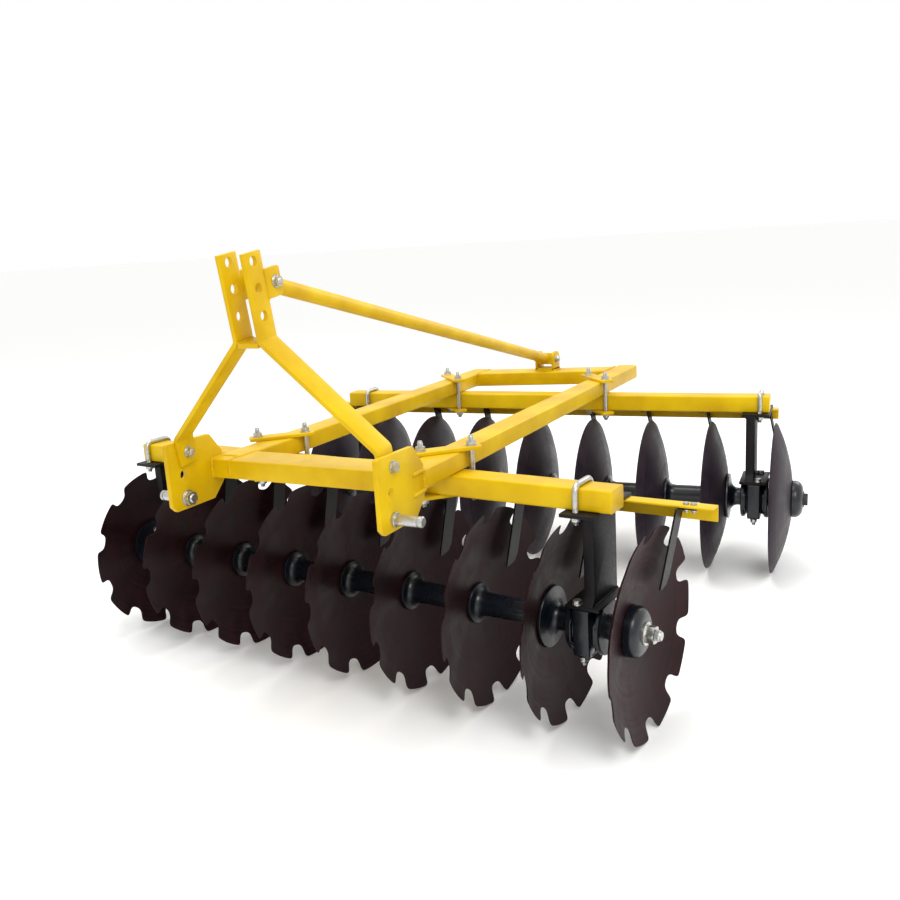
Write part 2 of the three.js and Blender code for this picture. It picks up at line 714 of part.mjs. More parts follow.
const beamStart = hitchPlateBack + seat;
part(harrow, 'left_side_beam', sideBeam(-1, beamStart, leftBeamEnd), yellow);
part(harrow, 'right_side_beam', sideBeam(1, beamStart, rightBeamEnd), yellow);
part(harrow, 'front_cross_beam', frontCrossBeam(), yellow);
part(harrow, 'rear_cross_beam', rearCrossBeam(), yellow);
for (const [name, side] of [['left', -1], ['right', 1]]) {
  part(harrow, `front_${name}_clamp`, beamClamp(side, frontGang), yellow);
  part(harrow, `rear_${name}_clamp`, beamClamp(side, rearGang), yellow);
  part(harrow, `${name}_hitch_plate`, hitchPlate(side), yellow);
  part(harrow, `${name}_lower_pin`, lowerPin(side), zinc);
  part(harrow, `${name}_mast_bar`, mastBar(side), yellow);
  part(harrow, `${name}_mast_foot_bolt`, mastFootBolt(side), zinc);
}
part(harrow, 'mast_base_bar', mastBaseBar(), yellow);
part(harrow, 'rear_brace', rearBrace(), yellow);
part(harrow, 'brace_front_pin', pinThrough(frontPin, mastGap / 2 + mastThickness), zinc);
part(harrow, 'brace_rear_pin', pinThrough(rearPin, mastGap / 2 + bracketWall), zinc);
part(harrow, 'brace_bracket', braceBracket(), yellow);

harrow.updateMatrixWorld(true);
const bounds = new THREE.Box3().setFromObject(harrow, true);
const centre = bounds.getCenter(new THREE.Vector3());
harrow.position.set(-centre.x, -centre.y, -bounds.min.z);

export default harrow;
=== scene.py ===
"""A mounted offset disc harrow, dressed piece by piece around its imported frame.

Lengths are millimetres inside the classes and become metres as each piece is finished.
"""

import json
import logging
import math
from dataclasses import dataclass, field
from enum import Enum
from typing import Iterable, Sequence

import bmesh
import bpy
from mathutils import Matrix, Vector


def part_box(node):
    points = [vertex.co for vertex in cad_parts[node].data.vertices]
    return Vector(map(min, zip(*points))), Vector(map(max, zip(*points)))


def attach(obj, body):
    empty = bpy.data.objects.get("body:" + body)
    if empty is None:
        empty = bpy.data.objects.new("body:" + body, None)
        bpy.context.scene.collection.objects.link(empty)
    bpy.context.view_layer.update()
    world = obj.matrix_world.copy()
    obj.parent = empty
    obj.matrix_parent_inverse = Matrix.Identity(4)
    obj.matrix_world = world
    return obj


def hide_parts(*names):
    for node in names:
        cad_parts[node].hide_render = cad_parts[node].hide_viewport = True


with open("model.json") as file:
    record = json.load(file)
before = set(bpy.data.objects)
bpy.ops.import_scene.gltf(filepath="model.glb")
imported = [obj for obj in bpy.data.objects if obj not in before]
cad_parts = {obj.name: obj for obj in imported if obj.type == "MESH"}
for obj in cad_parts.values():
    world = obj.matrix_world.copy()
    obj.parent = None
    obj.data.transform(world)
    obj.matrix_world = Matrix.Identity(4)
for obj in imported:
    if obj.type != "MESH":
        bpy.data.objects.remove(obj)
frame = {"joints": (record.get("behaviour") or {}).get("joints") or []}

log = logging.getLogger("disc_harrow")

MM = 0.001
Point = tuple[float, float, float]
Outline = Sequence[tuple[float, float]]


class Axis(Enum):
    """The three directions that a plate is thickened along or a bar runs along."""

    X = 0
    Y = 1
    Z = 2


class Side(Enum):
    """The harrow's two sides as seen from its front; the value is the way along x."""

    LEFT = -1
    RIGHT = 1

    @property
    def label(self) -> str:
        """The side's word in the names of nodes and pieces."""
        return self.name.lower()


class Slot(Enum):
    """The record's material slots."""

    YELLOW = "yellow_paint"
    BLACK = "black_paint"
    NOTCHED = "notched_disc_paint"
    PLAIN = "plain_disc_paint"
    ZINC = "zinc"


# ---------------------------------------------------------------- finishes


def linear(colour: str) -> tuple[float, float, float, float]:
    """Turns an sRGB hex colour to linear light.

    Args:
        colour: six hex digits.

    Returns:
        Linear red, green and blue with an alpha of one.
    """
    channels = [int(colour[k : k + 2], 16) / 255 for k in (0, 2, 4)]
    red, green, blue = (
        c / 12.92 if c <= 0.04045 else ((c + 0.055) / 1.055) ** 2.4 for c in channels
    )
    return red, green, blue, 1.0


def add_node(tree: bpy.types.NodeTree, kind: str, links: dict, stops: Sequence[tuple[float, str]] = (),
             **settings) -> bpy.types.Node:
    """Adds one node with its settings, input values and links.

    Args:
        tree: the material's node tree.
        kind: the node type's name.
        links: input name or number to a value or to another node's output socket.
        stops: a colour ramp's pairs of place and sRGB hex colour, in rising order.
        **settings: attributes of the node itself.

    Returns:
        The new node.
    """
    node = tree.nodes.new(kind)
    for name, value in settings.items():
        setattr(node, name, value)
    for name, value in links.items():
        socket = node.inputs[name]
        if isinstance(value, bpy.types.NodeSocket):
            tree.links.new(value, socket)
        else:
            socket.default_value = value
    if stops:
        elements = node.color_ramp.elements
        while len(elements) < len(stops):
            elements.new(0.5)
        for element, (place, colour) in zip(elements, stops):
            element.position, element.color = place, linear(colour)
    return node


def per_metre(size_mm: float) -> float:
    """The texture scale at which one cell of a pattern measures size_mm."""
    return 1000.0 / size_mm


def limits(low: float, high: float, to_low: float, to_high: float) -> dict[str, float]:
    """The input values that map the range low to high to another range."""
    return {"From Min": low, "From Max": high, "To Min": to_low, "To Max": to_high}


@dataclass(frozen=True)
class Finish:
    """What every finish has: a name, three tones from dark to light, and a roughness."""

    name: str
    tones: tuple[str, str, str]
    roughness: float

    def material(self) -> bpy.types.Material:
        """Builds the finish's material, or fetches it if it has been built.

        Returns:
            The material.
        """
        made = bpy.data.materials.get(self.name)
        if made is None:
            made = bpy.data.materials.new(self.name)
            made.use_nodes = True
            self.dress(made.node_tree, made.node_tree.nodes["Principled BSDF"])
        return made

    def dress(self, tree: bpy.types.NodeTree, shader: bpy.types.Node) -> None:
        """Adds the nodes that make this finish; each kind of finish has its own."""
        raise NotImplementedError(self.name)


@dataclass(frozen=True)
class Enamel(Finish):
    """Sprayed enamel on rolled or cast steel: even colour, a soft gloss and orange peel.

    The spray leaves cloudy differences of tone a hand wide, and dust settles in the peel. A casting
    also shows the sand's grain under its paint.
    """

    peel_mm: float
    peel_depth: float
    tone_stops: tuple[float, float, float] = (0.32, 0.5, 0.68)
    rough_swing: tuple[float, float] = (0.05, 0.12)
    cloud_mm: float = 140.0
    film_mm: float = 9.0
    dust: str = "8f8a7c"
    dust_share: float = 0.05
    coat: float = 0.35
    coat_roughness: float = 0.18
    gloss: float = 0.5
    gloss_tint: str = "ffffff"
    grain_mm: float = 0.0
    grain_depth: float = 0.0

    def dress(self, tree: bpy.types.NodeTree, shader: bpy.types.Node) -> None:
        """Adds the enamel's nodes.

        Args:
            tree: the material's node tree.
            shader: its shader.
        """
        place = add_node(tree, "ShaderNodeTexCoord", {}).outputs["Object"]
        cloud = add_node(tree, "ShaderNodeTexNoise",
                         {"Vector": place, "Scale": per_metre(self.cloud_mm), "Detail": 3.0})
        paint = add_node(tree, "ShaderNodeValToRGB", {"Fac": cloud.outputs["Fac"]},
                         stops=list(zip(self.tone_stops, self.tones)))
        film = add_node(tree, "ShaderNodeTexNoise", {"Vector": place, "Scale": per_metre(self.film_mm),
                                                     "Detail": 5.0, "Roughness": 0.7}).outputs["Fac"]
        dusty = add_node(tree, "ShaderNodeMapRange",
                         {"Value": film, **limits(0.52, 0.75, 0.0, self.dust_share * 4)})
        mixed = add_node(tree, "ShaderNodeMix", {"Factor": dusty.outputs["Result"],
                                                 "A": paint.outputs["Color"], "B": linear(self.dust)},
                         data_type="RGBA")
        tree.links.new(mixed.outputs["Result"], shader.inputs["Base Color"])
        smoother, rougher = self.rough_swing
        rough = add_node(tree, "ShaderNodeMapRange", {"Value": film, **limits(
            0.3, 0.75, self.roughness - smoother, self.roughness + rougher)})
        tree.links.new(rough.outputs["Result"], shader.inputs["Roughness"])
        shader.inputs["Specular IOR Level"].default_value = self.gloss
        shader.inputs["Specular Tint"].default_value = linear(self.gloss_tint)
        shader.inputs["Coat Weight"].default_value = self.coat
        shader.inputs["Coat Roughness"].default_value = self.coat_roughness
        peel = add_node(tree, "ShaderNodeTexNoise",
                        {"Vector": place, "Scale": per_metre(self.peel_mm), "Detail": 1.5})
        relief = add_node(tree, "ShaderNodeBump", {"Height": peel.outputs["Fac"], "Strength": 0.5,
                                                   "Distance": self.peel_depth * MM})
        if self.grain_mm:
            grain = add_node(tree, "ShaderNodeTexNoise",
                             {"Vector": place, "Scale": per_metre(self.grain_mm), "Detail": 4.0,
                              "Roughness": 0.65})
            relief = add_node(tree, "ShaderNodeBump", {"Height": grain.outputs["Fac"], "Strength": 0.7,
                                                       "Distance": self.grain_depth * MM,
                                                       "Normal": relief.outputs["Normal"]})
        tree.links.new(relief.outputs["Normal"], shader.inputs["Normal"])


@dataclass(frozen=True)
class DiscLacquer(Finish):
    """Dipped lacquer on hardened disc steel: thin and satin, with the rolling rings showing through.

    The rings and runs follow the disc, so the pattern reads the disc's own UV map, in which U goes
    once round and V is the radius in metres.
    """

    tone_stops: tuple[float, float, float] = (0.1, 0.5, 0.9)
    tone_range: tuple[float, float] = (1.2, 1.8)
    rough_swing: tuple[float, float] = (0.08, 0.12)
    ring_mm: float = 14.0
    rings_in_run: float = 14.0
    streaks_round: float = 26.0
    cloud_mm: float = 90.0
    ring_depth: float = 0.15
    cloud_depth: float = 0.8
    gloss: float = 0.12
    gloss_tint: str = "e2b8bb"

    def dress(self, tree: bpy.types.NodeTree, shader: bpy.types.Node) -> None:
        """Adds the lacquer's nodes.

        Args:
            tree: the material's node tree.
            shader: its shader.
        """
        texture = add_node(tree, "ShaderNodeTexCoord", {})
        patterns = []
        # The runs go out along the radius and the rings go round, both on the disc's own map.
        run_mm = self.ring_mm * self.rings_in_run
        for scale, detail in (((self.streaks_round, per_metre(run_mm), 1.0), 4.0),
                              ((1.0, per_metre(self.ring_mm), 1.0), 3.0)):
            spot = add_node(tree, "ShaderNodeMapping", {"Vector": texture.outputs["UV"], "Scale": scale})
            patterns.append(add_node(tree, "ShaderNodeTexNoise", {"Vector": spot.outputs["Vector"],
                                                                  "Scale": 1.0, "Detail": detail}))
        streak, ring = (pattern.outputs["Fac"] for pattern in patterns)
        cloud = add_node(tree, "ShaderNodeTexNoise",
                         {"Vector": texture.outputs["Object"], "Scale": per_metre(self.cloud_mm),
                          "Detail": 4.0}).outputs["Fac"]
        both = add_node(tree, "ShaderNodeMath", {0: streak, 1: ring}, operation="ADD").outputs[0]
        tone = add_node(tree, "ShaderNodeMath", {0: both, 1: cloud}, operation="ADD").outputs[0]
        share = add_node(tree, "ShaderNodeMapRange", {"Value": tone, **limits(*self.tone_range, 0.0, 1.0)})
        paint = add_node(tree, "ShaderNodeValToRGB", {"Fac": share.outputs["Result"]},
                         stops=list(zip(self.tone_stops, self.tones)))
        tree.links.new(paint.outputs["Color"], shader.inputs["Base Color"])
        smoother, rougher = self.rough_swing
        rough = add_node(tree, "ShaderNodeMapRange", {"Value": tone, **limits(
            *self.tone_range, self.roughness - smoother, self.roughness + rougher)})
        tree.links.new(rough.outputs["Result"], shader.inputs["Roughness"])
        shader.inputs["Specular IOR Level"].default_value = self.gloss
        shader.inputs["Specular Tint"].default_value = linear(self.gloss_tint)
        grooves = add_node(tree, "ShaderNodeBump",
                           {"Height": ring, "Strength": 0.35, "Distance": self.ring_depth * MM})
        relief = add_node(tree, "ShaderNodeBump",
                          {"Height": cloud, "Strength": 0.3, "Distance": self.cloud_depth * MM,
                           "Normal": grooves.outputs["Normal"]})
        tree.links.new(relief.outputs["Normal"], shader.inputs["Normal"])


@dataclass(frozen=True)
class Plating(Finish):
    """Zinc plating on bolts and pins: pale metal with a faint straw and blue passivation."""

    tones: tuple[str, str, str] = ("a8a79f", "c3c2bb", "b4b8bf")
    roughness: float = 0.34
    tone_stops: tuple[float, float, float] = (0.3, 0.5, 0.7)
    rough_swing: tuple[float, float] = (0.08, 0.14)
    cloud_mm: float = 11.0
    scuff_mm: float = 2.2
    scuff_depth: float = 0.08

    def dress(self, tree: bpy.types.NodeTree, shader: bpy.types.Node) -> None:
        """Adds the plating's nodes.

        Args:
            tree: the material's node tree.
            shader: its shader.
        """
        place = add_node(tree, "ShaderNodeTexCoord", {}).outputs["Object"]
        cloud = add_node(tree, "ShaderNodeTexNoise",
                         {"Vector": place, "Scale": per_metre(self.cloud_mm), "Detail": 3.0})
        metal = add_node(tree, "ShaderNodeValToRGB", {"Fac": cloud.outputs["Fac"]},
                         stops=list(zip(self.tone_stops, self.tones)))
        tree.links.new(metal.outputs["Color"], shader.inputs["Base Color"])
        scuff = add_node(tree, "ShaderNodeTexNoise",
                         {"Vector": place, "Scale": per_metre(self.scuff_mm), "Detail": 4.0}).outputs["Fac"]
        smoother, rougher = self.rough_swing
        rough = add_node(tree, "ShaderNodeMapRange", {"Value": scuff, **limits(
            0.3, 0.7, self.roughness - smoother, self.roughness + rougher)})
        tree.links.new(rough.outputs["Result"], shader.inputs["Roughness"])
        shader.inputs["Metallic"].default_value = 1.0
        relief = add_node(tree, "ShaderNodeBump",
                          {"Height": scuff, "Strength": 0.4, "Distance": self.scuff_depth * MM})
        tree.links.new(relief.outputs["Normal"], shader.inputs["Normal"])


YELLOW = Enamel("yellow_enamel", ("c39a02", "cfa904", "dab607"), 0.40, 2.6, 0.10, dust="b48a2c",
                dust_share=0.03, coat=0.05, gloss=0.35, gloss_tint="ffe7a0")
BEAD = Enamel("yellow_enamel_on_welds", ("c09601", "cda603", "dab407"), 0.44, 1.8, 0.16, dust="a47c28",
              dust_share=0.05, coat=0.05, gloss=0.35, gloss_tint="ffe7a0")
CASTING = Enamel("black_enamel_on_castings", ("04070b", "070c13", "0b121c"), 0.30, 3.0, 0.12,
                 dust="3e4146", dust_share=0.03, coat=0.25, gloss=0.4, grain_mm=1.6, grain_depth=0.25)
BAR_BLACK = Enamel("black_enamel_on_bars", ("0a0809", "0f0c0e", "161214"), 0.42, 2.6, 0.10,
                   dust="3a3032", dust_share=0.03, coat=0.0, gloss=0.2)
NOTCHED = DiscLacquer("brown_lacquer_on_notched_discs", ("1a0b0d", "221013", "2c171a"), 0.40)
PLAIN = DiscLacquer("brown_lacquer_on_plain_discs", ("221c22", "292228", "31292f"), 0.42,
                     gloss=0.16, gloss_tint="dcc8d2")
ZINC = Plating("zinc_plate")


# ---------------------------------------------------------------- workshop

# An edge that turns by more than this is rounded when its form is softened.
SHARP_EDGE = math.radians(25)
# An edge that turns by more degrees than this stays sharp in the shading.
CREASE = 32.0
# Facets round the castings on a gang's axis.
TURNED_SIDES = 72
# From one pool of a weld to the next, in millimetres.
BEAD_PITCH = 3.4


@dataclass(frozen=True)
class BoltSize:
    """The bolts and nuts that the sub-assemblies share, in millimetres."""

    radius: float = 8.0
    hole: float = 8.6
    nut: tuple[float, float] = (14.0, 13.0)
    tip: float = 10.0


BOLT = BoltSize()


def mark_creases(mesh: bmesh.types.BMesh, crease: float) -> None:
    """Keeps the edges sharp that turn by more than an angle in degrees.

    Args:
        mesh: the mesh whose edges are marked.
        crease: the angle.
    """
    for edge in mesh.edges:
        edge.smooth = not (edge.is_manifold and edge.calc_face_angle(0) > math.radians(crease))


def rising(a: float, b: float) -> tuple[float, float]:
    """Puts two numbers in rising order."""
    return (a, b) if a <= b else (b, a)


def rounded(corners: Outline, radii: dict[int, float], steps: int = 5) -> list[tuple[float, float]]:
    """Rounds some corners of an outline with arcs.

    Args:
        corners: the outline's corners in order.
        radii: corner number to radius.
        steps: segments in each arc.

    Returns:
        The outline with its arcs.
    """
    made = []
    count = len(corners)
    for k, corner in enumerate(corners):
        here = Vector(corner)
        if k not in radii:
            made.append(tuple(here))
            continue
        to_before = (Vector(corners[k - 1]) - here).normalized()
        to_after = (Vector(corners[(k + 1) % count]) - here).normalized()
        half = to_before.angle(to_after) / 2
        middle = here + (to_before + to_after).normalized() * (radii[k] / math.sin(half))
        reach = radii[k] / math.tan(half)
        first = here + to_before * reach - middle
        sweep = first.angle_signed(here + to_after * reach - middle)
        for step in range(steps + 1):
            turn = Matrix.Rotation(-sweep * step / steps, 2)
            made.append(tuple(middle + turn @ first))
    return made


@dataclass
class Workpiece:
    """One piece in the making, in millimetres in the frame of the sub-assembly that owns it."""

    name: str
    mesh: bmesh.types.BMesh = field(default_factory=bmesh.new)

    def _take(self, form: bmesh.types.BMesh, place: Matrix | None = None) -> None:
        """Puts a finished form among the piece's others, and frees it.

        Args:
            form: the form.
            place: a transform applied first.
        """
        if place is not None:
            bmesh.ops.transform(form, matrix=place, verts=form.verts)
        data = bpy.data.meshes.new("form")
        form.to_mesh(data)
        form.free()
        self.mesh.from_mesh(data)
        bpy.data.meshes.remove(data)

    @staticmethod
    def _soften(form: bmesh.types.BMesh, round_off: float, steps: int) -> None:
        """Rounds a form's sharp edges.

        Args:
            form: the form.
            round_off: how wide they are rounded; nothing is done at zero.
            steps: segments across a rounded edge.
        """
        edges = [e for e in form.edges if e.calc_face_angle(0) > SHARP_EDGE]
        if round_off > 0 and edges:
            bmesh.ops.bevel(form, geom=edges, offset=round_off, offset_type="OFFSET", affect="EDGES",
                            segments=steps, profile=0.5, material=-1, clamp_overlap=True)

    def block(self, x: tuple[float, float], y: tuple[float, float], z: tuple[float, float],
              round_off: float, steps: int = 2) -> None:
        """Adds a box with rounded edges.

        Args:
            x: its reach along x.
            y: its reach along y.
            z: its reach along z.
            round_off: how wide its edges are rounded.
            steps: segments across a rounded edge.
        """
        x, y, z = rising(*x), rising(*y), rising(*z)
        middle = Vector((sum(x), sum(y), sum(z))) / 2
        size = Matrix.Diagonal((x[1] - x[0], y[1] - y[0], z[1] - z[0], 1))
        form = bmesh.new()
        bmesh.ops.create_cube(form, size=1.0, matrix=Matrix.Translation(middle) @ size)
        self._soften(form, round_off, steps)
        self._take(form)

    def beam(self, x: tuple[float, float], y: tuple[float, float], z: tuple[float, float], along: Axis,
             corner: float) -> None:
        """Adds a rolled box section: its long edges well rounded, its ends capped and dressed.

        Args:
            x: its reach along x.
            y: its reach along y.
            z: its reach along z.
            along: the direction that it runs in.
            corner: how wide its long edges are rounded.
        """
        proud, rim, parallel = 0.9, 1.6, 0.9
        form = bmesh.new()
        spans = [rising(*x), rising(*y), rising(*z)]
        start, end = spans[along.value]
        spans[along.value] = (start + proud, end - proud)
        middle = Vector([sum(s) / 2 for s in spans])
        size = Matrix.Diagonal((*[s[1] - s[0] for s in spans], 1))
        bmesh.ops.create_cube(form, size=1.0, matrix=Matrix.Translation(middle) @ size)
        run = Vector((0, 0, 0))
        run[along.value] = 1
        long_edges = [e for e in form.edges
                      if abs((e.verts[1].co - e.verts[0].co).normalized().dot(run)) > parallel]
        bmesh.ops.bevel(form, geom=long_edges, offset=corner, offset_type="OFFSET", affect="EDGES",
                        segments=5, profile=0.5, material=-1)
        ends = [f for f in form.faces if abs(f.normal.dot(run)) > parallel]
        bmesh.ops.inset_region(form, faces=ends, thickness=rim, depth=proud, use_even_offset=True)
        self._take(form)

    def plate(self, outline: Outline, axis: Axis, start: float, end: float, round_off: float = 1.2,
              steps: int = 2, turn: Matrix | None = None) -> None:
        """Adds a plate of any outline, thickened along an axis.

        Args:
            outline: corners in the two other axes, in X, Y, Z order.
            axis: the direction of its thickness.
            start: where the thickness begins.
            end: where it ends.
            round_off: how wide its edges are rounded.
            steps: segments across a rounded edge.
            turn: a transform applied after it is placed.
        """
        start, end = rising(start, end)
        form = bmesh.new()
        corners = []
        for pair in outline:
            place = list(pair)
            place.insert(axis.value, start)
            corners.append(form.verts.new(place))
        face = form.faces.new(corners)
        made = bmesh.ops.extrude_face_region(form, geom=[face])["geom"]
        step = Vector((0, 0, 0))
        step[axis.value] = end - start
        bmesh.ops.translate(form, vec=step, verts=[g for g in made if isinstance(g, bmesh.types.BMVert)])
        bmesh.ops.recalc_face_normals(form, faces=form.faces)
        self._soften(form, round_off, steps)
        self._take(form, turn)

    def turned(self, profile: Outline, start: Vector, direction: Vector, sides: int) -> None:
        """Adds a solid of revolution.

        Args:
            profile: pairs of distance along the axis and radius; it starts and ends on the axis, or
                comes back to its first point for a ring.
            start: the axis's origin.
            direction: the axis's direction.
            sides: facets round the axis.
        """
        form = bmesh.new()
        ring = tuple(profile[0]) == tuple(profile[-1])
        points = profile[:-1] if ring else profile
        line = [form.verts.new((radius, 0.0, along)) for along, radius in points]
        pairs = list(zip(line, line[1:])) + ([(line[-1], line[0])] if ring else [])
        edges = [form.edges.new(pair) for pair in pairs]
        bmesh.ops.spin(form, geom=line + edges, cent=(0, 0, 0), axis=(0, 0, 1), dvec=(0, 0, 0),
                       angle=2 * math.pi, steps=sides, use_merge=True, use_duplicate=False)
        bmesh.ops.remove_doubles(form, verts=form.verts, dist=1e-3)
        bmesh.ops.recalc_face_normals(form, faces=form.faces)
        aim = direction.to_track_quat("Z", "Y").to_matrix().to_4x4()
        self._take(form, Matrix.Translation(start) @ aim)

    def rod(self, radius: float, start: Point, end: Point, chamfer: float, sides: int = 28) -> None:
        """Adds a round bar between two points, its ends chamfered.

        Args:
            radius: the bar's radius.
            start: one end.
            end: the other end.
            chamfer: how wide its ends are chamfered.
            sides: facets round the bar.
        """
        a, b = Vector(start), Vector(end)
        length = (b - a).length
        profile = [(0, 0), (0, radius - chamfer), (chamfer, radius), (length - chamfer, radius),
                   (length, radius - chamfer), (length, 0)]
        self.turned(profile, a, (b - a).normalized(), sides)

    def thread(self, radius: float, start: Vector, direction: Vector, length: float,
               pitch: float = 2.5) -> None:
        """Adds a threaded bolt end: a rod with a groove each pitch.

        Args:
            radius: over the thread's crests.
            start: where it starts.
            direction: where it points.
            length: its length.
            pitch: from crest to crest, coarser than the real one so that it shows.
        """
        first, root, tip = radius * 0.86, radius * 0.87, radius * 0.76
        profile = [(0, 0), (0, first)]
        for k in range(max(1, int(length / pitch) - 1)):
            profile += [(k * pitch + pitch * 0.5, radius), (k * pitch + pitch, root)]
        profile += [(length, tip), (length, 0)]
        self.turned(profile, start, direction, 24)

    def hexagon(self, across: float, start: Vector, direction: Vector, height: float, spin: float) -> None:
        """Adds a hexagon nut or head, the corners of its outer face chamfered.

        Args:
            across: radius to its corners.
            start: the middle of the face that bears.
            direction: away from what it bears on.
            height: its height.
            spin: how far it is turned about its axis, in radians.
        """
        form = bmesh.new()
        bmesh.ops.create_cone(form, cap_ends=True, segments=6, radius1=across, radius2=across, depth=height,
                              matrix=Matrix.Translation((0, 0, height / 2)) @ Matrix.Rotation(spin, 4, "Z"))
        outer = [v for v in form.verts if v.co.z > height / 2]
        chamfer = across * 0.17
        bmesh.ops.bevel(form, geom=outer, offset=chamfer, offset_type="OFFSET", affect="VERTICES",
                        segments=2, profile=0.5, material=-1)
        aim = direction.to_track_quat("Z", "Y").to_matrix().to_4x4()
        self._take(form, Matrix.Translation(start) @ aim)

    def washer(self, radius: float, start: Vector, direction: Vector, thick: float) -> None:
        """Adds a flat washer, solid to its axis because a bolt fills its hole.

        Args:
            radius: its radius.
            start: the middle of the face that bears.
            direction: away from what it bears on.
            thick: its thickness.
        """
        edge = 0.5
        self.turned([(0, 0), (0, radius - edge), (edge, radius), (thick - edge, radius),
                     (thick, radius - edge), (thick, 0)], start, direction, 36)

    def nut_on(self, face: Vector, out: Vector, washer: tuple[float, float], across: float, height: float,
               spin: float) -> None:
        """Adds a washer on a face, and a nut or head on the washer.

        Args:
            face: where the bolt's axis meets the face.
            out: away from the face.
            washer: the washer's radius and thickness.
            across: radius to the nut's corners.
            height: the nut's height.
            spin: how far the nut is turned about its axis, in radians.
        """
        radius, thick = washer
        self.washer(radius, face, out, thick)
        self.hexagon(across, face + out * thick, out, height, spin)

    def _pools(self, places: Iterable[Matrix], leg: float) -> None:
        """Adds a row of overlapping weld pools.

        Args:
            places: each pool's place, with x along the bead.
            leg: half of the bead's width; the pools swell and shrink a little about it.
        """
        form = bmesh.new()
        for k, place in enumerate(places):
            # Two waves out of step, so that no two pools near each other are alike.
            swell = 1 + 0.1 * math.sin(k * 2.4) + 0.06 * math.sin(k * 5.3 + 1)
            shape = Matrix.Diagonal((leg * 0.95, leg * swell, leg * swell, 1))
            bmesh.ops.create_icosphere(form, subdivisions=2, radius=1.0, matrix=place @ shape)
        self._take(form)

    def bead(self, start: Point, end: Point, leg: float) -> None:
        """Adds a weld bead along a straight joint.

        Args:
            start: where the joint starts.
            end: where it ends.
            leg: half of the bead's width.
        """
        a, b = Vector(start), Vector(end)
        run = b - a
        aim = run.to_track_quat("X", "Z").to_matrix().to_4x4()
        count = max(2, int(run.length / BEAD_PITCH))
        self._pools((Matrix.Translation(a + run * (k / count)) @ aim for k in range(count + 1)), leg)

    def beads(self, path: Sequence[Point], leg: float) -> None:
        """Adds weld beads from each point of a path to the next."""
        for a, b in zip(path, path[1:]):
            self.bead(a, b, leg)

    def ring_bead(self, centre: Vector, direction: Vector, radius: float, leg: float) -> None:
        """Adds a weld bead round a tube.

        Args:
            centre: a point on the tube's axis.
            direction: the tube's direction.
            radius: from the axis to the bead's middle.
            leg: half of the bead's width.
        """
        aim = Matrix.Translation(centre) @ direction.to_track_quat("Z", "Y").to_matrix().to_4x4()
        count = int(2 * math.pi * radius / BEAD_PITCH)
        self._pools((aim @ Matrix.Rotation(2 * math.pi * k / count, 4, "Z")
                     @ Matrix.Translation((radius, 0, 0)) @ Matrix.Rotation(math.pi / 2, 4, "Z")
                     for k in range(count)), leg)

    def bent_rod(self, radius: float, x: float, path: Outline, sides: int = 22) -> None:
        """Adds a round bar bent in a plane, by extruding its end face along a path.

        Args:
            radius: the bar's radius.
            x: the plane that it is bent in.
            path: its points in y and z, close together round a bend.
            sides: facets round the bar.
        """
        points = [Vector((x, y, z)) for y, z in path]

        def stand_at(k: int) -> Matrix:
            """Works out the end face's place at a point of the path.

            Args:
                k: the point's number.

            Returns:
                The place, with z along the path.
            """
            along = (points[min(k + 1, len(points) - 1)] - points[max(k - 1, 0)]).normalized()
            across = Vector((1, 0, 0))
            turn = Matrix((across, along.cross(across), along)).transposed().to_4x4()
            return Matrix.Translation(points[k]) @ turn

        form = bmesh.new()
        bmesh.ops.create_circle(form, cap_ends=True, segments=sides, radius=radius, matrix=stand_at(0))
        form.faces.ensure_lookup_table()
        face = form.faces[0]
        for k in range(1, len(points)):
            region = bmesh.ops.extrude_face_region(form, geom=[face])["geom"]
            verts = [g for g in region if isinstance(g, bmesh.types.BMVert)]
            step = stand_at(k) @ stand_at(k - 1).inverted()
            bmesh.ops.transform(form, matrix=step, verts=verts)
            face = next(g for g in region if isinstance(g, bmesh.types.BMFace))
        bmesh.ops.recalc_face_normals(form, faces=form.faces)
        self._take(form)

    def finish(self, place: Matrix, finish: Finish, slot: Slot, body: str,
               stands_for: Sequence[str] = (), crease: float = CREASE) -> bpy.types.Object:
        """Makes the piece an object in metres, dresses it and puts it on its body.

        Args:
            place: from the sub-assembly's frame, in millimetres, to the row frame in metres.
            finish: the finish whose material it gets.
            slot: the record's slot; not used.
            body: the body that it rides on.
            stands_for: CAD nodes that it replaces.
            crease: the angle in degrees past which an edge stays sharp.

        Returns:
            The piece.
        """
        bm = self.mesh
        bmesh.ops.transform(bm, matrix=place, verts=bm.verts)
        for face in bm.faces:
            face.smooth = True
        mark_creases(bm, crease)
        data = bpy.data.meshes.new(self.name)
        bm.to_mesh(data)
        bm.free()
        data.materials.append(finish.material())
        piece = bpy.data.objects.new(self.name, data)
        bpy.context.scene.collection.objects.link(piece)
        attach(piece, body)
        if stands_for:
            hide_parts(*stands_for)
        log.info("%s: %d faces on %s", self.name, len(data.polygons), body)
        return piece


